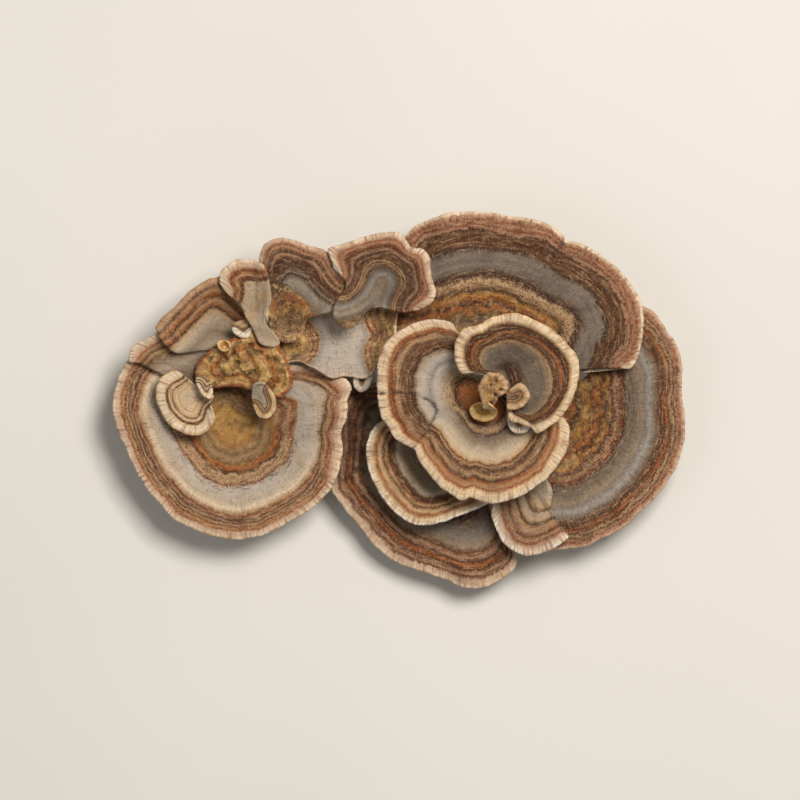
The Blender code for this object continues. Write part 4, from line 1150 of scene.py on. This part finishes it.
        body=2.8, crown=0.5, lead=(1, 11), margin_colour="cream", fibrils=0.3, blotch=("sand", 0.3),
        coarse=0.8,
    ),
    # Small rolled lip where the pale fan leaves the core
    Cap(
        "left_lip_cap", ((-48.75, 3.3),), 18.4, (-48.6, 4.4, 1.0), 3.4,
        margin="""
        -204 22 18.3, -202 12 18, -197 4 17.8, -190 1 17.8, -187 8 18, -189 18 18.3,
        -196 24 18.5""",
        bands="""
        0 sand 2, 250 dull_brown 4, 400 cream 1, 500 brown 4, 600 cream 1, 700 umber 3, 780 cream 0,
        1000 white_rim 0""",
        rim=0.9, body=1.2, crown=0.3, lead=(1, 4), margin_colour="cream", margin_width=0.3,
        coarse=0.6, ragged=0.15, fibrils=0.3,
    ),
    # Small tongue hanging over the bowl of the rosette
    Cap(
        "left_tongue_cap", ((-34.25, 2.2),), 17.2, (-34.25, 3.0, 1.2), 3.2,
        margin="""
        -146 16 17.3, -148 4 16.6, -146 -9 15.3, -140 -17.6 14.8, -131 -17.6 14.8, -125 -10 15.3,
        -124 0 16.6, -128 9 17.3, -136 18 17.6""",
        bands="""
        0 blue_grey 1, 300 ash 1, 420 umber 3, 500 sand 1, 560 brown 3, 640 tan 2, 700 umber 2,
        770 yellow 0, 1000 cream 0""",
        rim=1.0, body=1.3, crown=0.4, lead=(2, 7), margin_colour="cream", margin_width=0.4,
        coarse=0.6, ragged=0.15, fibrils=0.2,
    ),
    # Middle tier at the front, between the lowest cap and the top one
    Cap(
        "mid_cap", ((12.5, -11.75),), 12.0, (12.0, -12.5, 4.5), 20.5,
        margin="""
        -20 -22 16.5, -28 -30 16.5, -33 -43 16.5, -34 -60 16, -29 -77 15.5, -19 -96 15.5,
        -5 -113 15.5, 12 -123.6 16, 32 -124.4 16.5, 52 -119 16.5, 77 -109 17, 89 -102 17, 93 -88 16,
        92 -65 15, 80 -40 14.5, 62 -28 14.5, 38 -20 15, 8 -13 16""",
        bands="""
        0 slate 2, 350 warm_grey 1, 550 warm_grey 0, 620 ash 0, 660 dull_brown 2, 700 umber 4,
        730 red_brown 4, 760 tan 2, 790 brown 5, 810 tan 2, 840 sand 1, 870 rust 3, 900 tan 1,
        930 cream 0, 1000 pale_rim 0""",
        margin_colour="white_rim", margin_width=1.2, blotch=("umber", 0.3),
    ),
    # Folded fan at the front, over the right cap
    Cap(
        "lower_fan_cap", ((31.75, -20.75),), 13.5, (31.5, -21.0, 2.6), 18.0,
        margin="""
        93 -103 16.5, 92 -115 16, 97 -132 15.5, 106 -146 15.5, 120 -155 15.5, 132 -156.4 15.5,
        148 -151 15.5, 160 -144 15.5, 169 -137 15.5, 162 -128 15.5, 156 -118 15.5, 151 -107 15.5,
        153 -92 15.5, 145 -76 15.5, 127 -68 15, 108 -78 15.5, 97 -91 16""",
        bands="""
        0 warm_grey 1, 400 ash 1, 520 sand 1, 565 dull_brown 3, 590 ash 0, 650 sand 1, 700 umber 3,
        730 tan 2, 780 pink_tan 2, 820 brown 5, 860 pink_tan 3, 900 red_brown 4, 935 pink_rim 0,
        1000 white_rim 0""",
        body=3.0, lead=(0, 8), margin_colour="white_rim", margin_width=0.8,
        blotch=("warm_grey", 0.3), cracks=(FAN_FOLD,),
    ),
    # Large top tier with a left lobe, a small lobe and a broad front lobe
    Cap(
        "top_cap", ((21.25, 0.75),), 18.2, (21.25, 1.5, 5.0), 25.5,
        margin="""
        59 67 26.5, 52 76 27, 40 80 27, 25 79.6 27, 8 74 27, -7 65 27, -17 51 27, -22.4 35 26.5,
        -23 15 26.5, -21.6 0 26, -19 -17 25, -12 -27 24.5, -5 -38 24.5, 7 -46 24.5, 14 -49 25,
        19 -59 25, 26 -71 25, 37 -84 25, 50 -94 24.5, 63 -100 24.5, 70 -96.4 24.5, 78 -99.6 24.5,
        92 -103 24.5, 115 -97.6 24.5, 130 -90.4 24.5, 145 -79 24.5, 157 -66 25, 165 -51 25.5,
        169 -34 25.5, 166 -22 25, 156 -10 24, 145 7 23, 130 28 23, 112 45 23.5, 90 58 24.5,
        73 66 25.5""",
        bands="""
        0 orange 1, 200 orange 1, 250 rust 2, 280 umber 5, 300 pink_tan 10, 330 sand 10,
        370 umber 4, 400 slate 1, 460 warm_grey 1, 520 ash 0, 590 bone 0, 635 sand 0,
        660 red_brown 4, 680 tan 3, 700 umber 4, 730 dull_brown 4, 765 tan 4, 800 umber 3,
        830 rust 2, 860 tan 1, 890 rust 2, 925 cream 0, 1000 pale_rim 0""",
        other="""
        0 orange 2, 200 orange 3, 270 umber 3, 330 sand 4, 400 ash 1, 460 pale_grey 0,
        500 cool_grey 1, 560 pale_grey 0, 610 ash 1, 660 umber 3, 700 brown 5, 780 dull_brown 4,
        820 tan 3, 860 red_brown 3, 900 rust 2, 925 cream 0, 1000 pale_rim 0""",
        crown=1.0, blotch=("warm_grey", 0.25), turn=((12.0, -9.0), (7.0, -3.0)),
        cracks=(LOBE_CRACK, LOBE_SEAM),
    ),
    # Tiny white-margined cap under the end of the spiral
    Cap(
        "inner_bud_cap", ((29.5, -3.5),), 21.8, (29.5, -3.4, 1.4), 5.0,
        margin="""
        107 -21 22.3, 110 -30 22.3, 118 -34 22.3, 127 -31.6 22.3, 131 -24 22.3, 130 -8 21.8,
        118 0 21.6, 108 -7 21.8""",
        bands="""
        0 slate 1, 450 brown 3, 600 umber 3, 720 tan 1, 800 white_rim 0, 1000 white_rim 0""",
        rim=0.9, body=1.3, crown=0.2, lead=(0, 4), margin_colour="white_rim", margin_width=0.5,
        coarse=0.6, ragged=0.15, fibrils=0.2,
    ),
    # Highest cap, wound around the middle of the right group
    Cap(
        "spiral_cap", ((26.5, 7.5), (29.25, -1.25)), 26.4, (29.5, 4.5, 2.8), 15.0,
        margin="""
        62 26 28.9, 56 34 29.4, 54 48 29.9, 56 60 30.4, 64 71 30.9, 78 75 31.4, 90 82 31.9,
        107 86 31.9, 120 85 31.9, 135 79 31.9, 152 70 31.9, 166 56 31.4, 175 44 31.4, 178.4 29 30.9,
        175 12 30.4, 168 -6 29.9, 159 -18 29.4, 147 -28.4 28.9, 136 -33 28.4, 130 -28 27.9,
        120 -24 27.9, 109 -20 27.4, 106 -5 27.4, 104 10 27.4, 100 23 27.4, 80 27.6 27.9""",
        bands="""
        0 umber 2, 120 plum 3, 220 slate 1, 380 slate 0, 500 warm_grey 1, 545 tan 4, 580 brown 4,
        660 dull_brown 5, 710 rust 3, 740 umber 3, 780 brown 4, 820 umber 2, 855 tan 1, 890 cream 0,
        1000 white_rim 0""",
        body=3.2, crown=0.9, margin_colour="cream", margin_width=1.6, blotch=("umber", 0.25),
    ),
    # Pitted yellow-brown knob in the middle of the spiral
    Cap(
        "centre_knob", ((23.0, 3.6),), 34.0, (22.6, 3.0, 2.3), 4.0,
        margin="""
        78 14 32, 80 22 33, 87 28.4 33.5, 96 28 33.5, 104 22 33, 108 14 33, 103 4 32.5,
        97.6 0.4 31.2, 92.8 -8 28.6, 85.2 -10 28, 81.2 -1.6 29.6, 78.8 6.4 31.2""",
        bands="""
        0 sand 3, 500 gold 4, 800 sand 4, 1000 gold 2""",
        rim=2.6, body=5.0, crown=1.0, lumps=0.35, margin_colour="sand", pitted=1.2, pit_size=1.25,
        mottled=2.0, mottling=0.5, coarse=0.4, fibrils=0.1, blotch=("brown", 0.3), ragged=0.7,
    ),
    # Tiny yellow cap at the foot of the knob
    Cap(
        "knob_cap", ((20.75, -2.2),), 23.6, (20.7, -2.3, 1.2), 4.0,
        margin="""
        69 -11 23.6, 73 -18 23.1, 81 -21.6 23.1, 89 -21 23.1, 95 -17 23.1, 97 -11 23.6, 92 -5 23.9,
        87 -2 24.1, 78 -2 24.1, 71 -5 23.9""",
        bands="""
        0 gold 2, 300 yellow 1, 550 gold 1, 640 ochre 3, 700 gold 2, 780 yellow 0,
        1000 yellow 0""",
        rim=1.0, body=1.4, crown=0.2, lead=(0, 6), margin_colour="yellow", margin_width=0.4,
        coarse=0.5, ragged=0.15, fibrils=0.2,
    ),
    # Tiny banded fan beside the knob
    Cap(
        "inner_fan_cap", ((28.2, 0.9),), 29.4, (28.6, 0.8, 1.2), 4.2,
        margin="""
        106 -2 29.6, 107 -9 29.6, 115 -9.6 29.6, 124 -5 30.1, 129 3 30.6, 127 11 30.6, 120 17 30.6,
        112 13 30.1, 106.8 7 29.6""",
        bands="""
        0 tan 2, 200 sand 1, 300 brown 3, 400 sand 1, 500 umber 3, 580 tan 1, 660 red_brown 3,
        740 tan 1, 820 sand 0, 1000 cream 0""",
        rim=0.9, body=1.3, crown=0.2, lead=(1, 7), margin_colour="sand", margin_width=0.4,
        coarse=0.5, ragged=0.15, fibrils=0.2,
    ),
)


def pale_paper():
    """Plain pale paper, with faint broad clouds."""
    material = bpy.data.materials.new("pale_paper")
    graph = Graph(material)
    cloud = graph.noise(graph.object_place(), 6.0)
    graph.surface(Base_Color=graph.tinted("paper", "pale_paper", cloud, 0.3, 0.7), Roughness=0.9)
    return material


def add_floor():
    """Plain pale floor under the cluster."""
    half = 0.5 * FLOOR_SIZE * MM
    mesh = bpy.data.meshes.new("floor")
    corners = [(-half, -half, 0.0), (half, -half, 0.0), (half, half, 0.0), (-half, half, 0.0)]
    mesh.from_pydata(corners, [], [(0, 1, 2, 3)])
    mesh.materials.append(pale_paper())
    floor = put_in_scene("floor", mesh)


def add_light(name, place, size, power, colour):
    """A soft square light aimed at the cluster."""
    light = bpy.data.lights.new(name, "AREA")
    light.size = size * MM
    light.energy = power
    light.color = colour
    lamp = put_in_scene(name, light)
    lamp.location = Vector(place) * MM
    lamp.rotation_euler = (-lamp.location).to_track_quat("-Z", "Y").to_euler()


def add_camera():
    """Camera straight above the cluster, as in the photograph."""
    camera = bpy.data.cameras.new("camera")
    camera.sensor_width = SENSOR_WIDTH
    camera.lens = SENSOR_WIDTH * (CAMERA_HEIGHT - VIEW_LEVEL) / VIEW_WIDTH
    camera.clip_end = 10.0
    eye = put_in_scene("camera", camera)
    eye.location = (0.0, 0.0, CAMERA_HEIGHT * MM)
    bpy.context.scene.camera = eye


def add_studio():
    """Soft light from the upper right, with weak light from all round."""
    world = bpy.data.worlds.new("studio")
    world.use_nodes = True
    background = world.node_tree.nodes["Background"]
    background.inputs["Color"].default_value = SKY_COLOUR
    background.inputs["Strength"].default_value = SKY_STRENGTH
    bpy.context.scene.world = world
    for name, light in LIGHTS.items():
        add_light(name, *light)


def main():
    below = Below()
    for cap in CAPS:
        add_cap(cap, below)
    add_floor()
    add_studio()
    add_camera()
    bpy.context.scene.view_settings.view_transform = "Standard"


main()
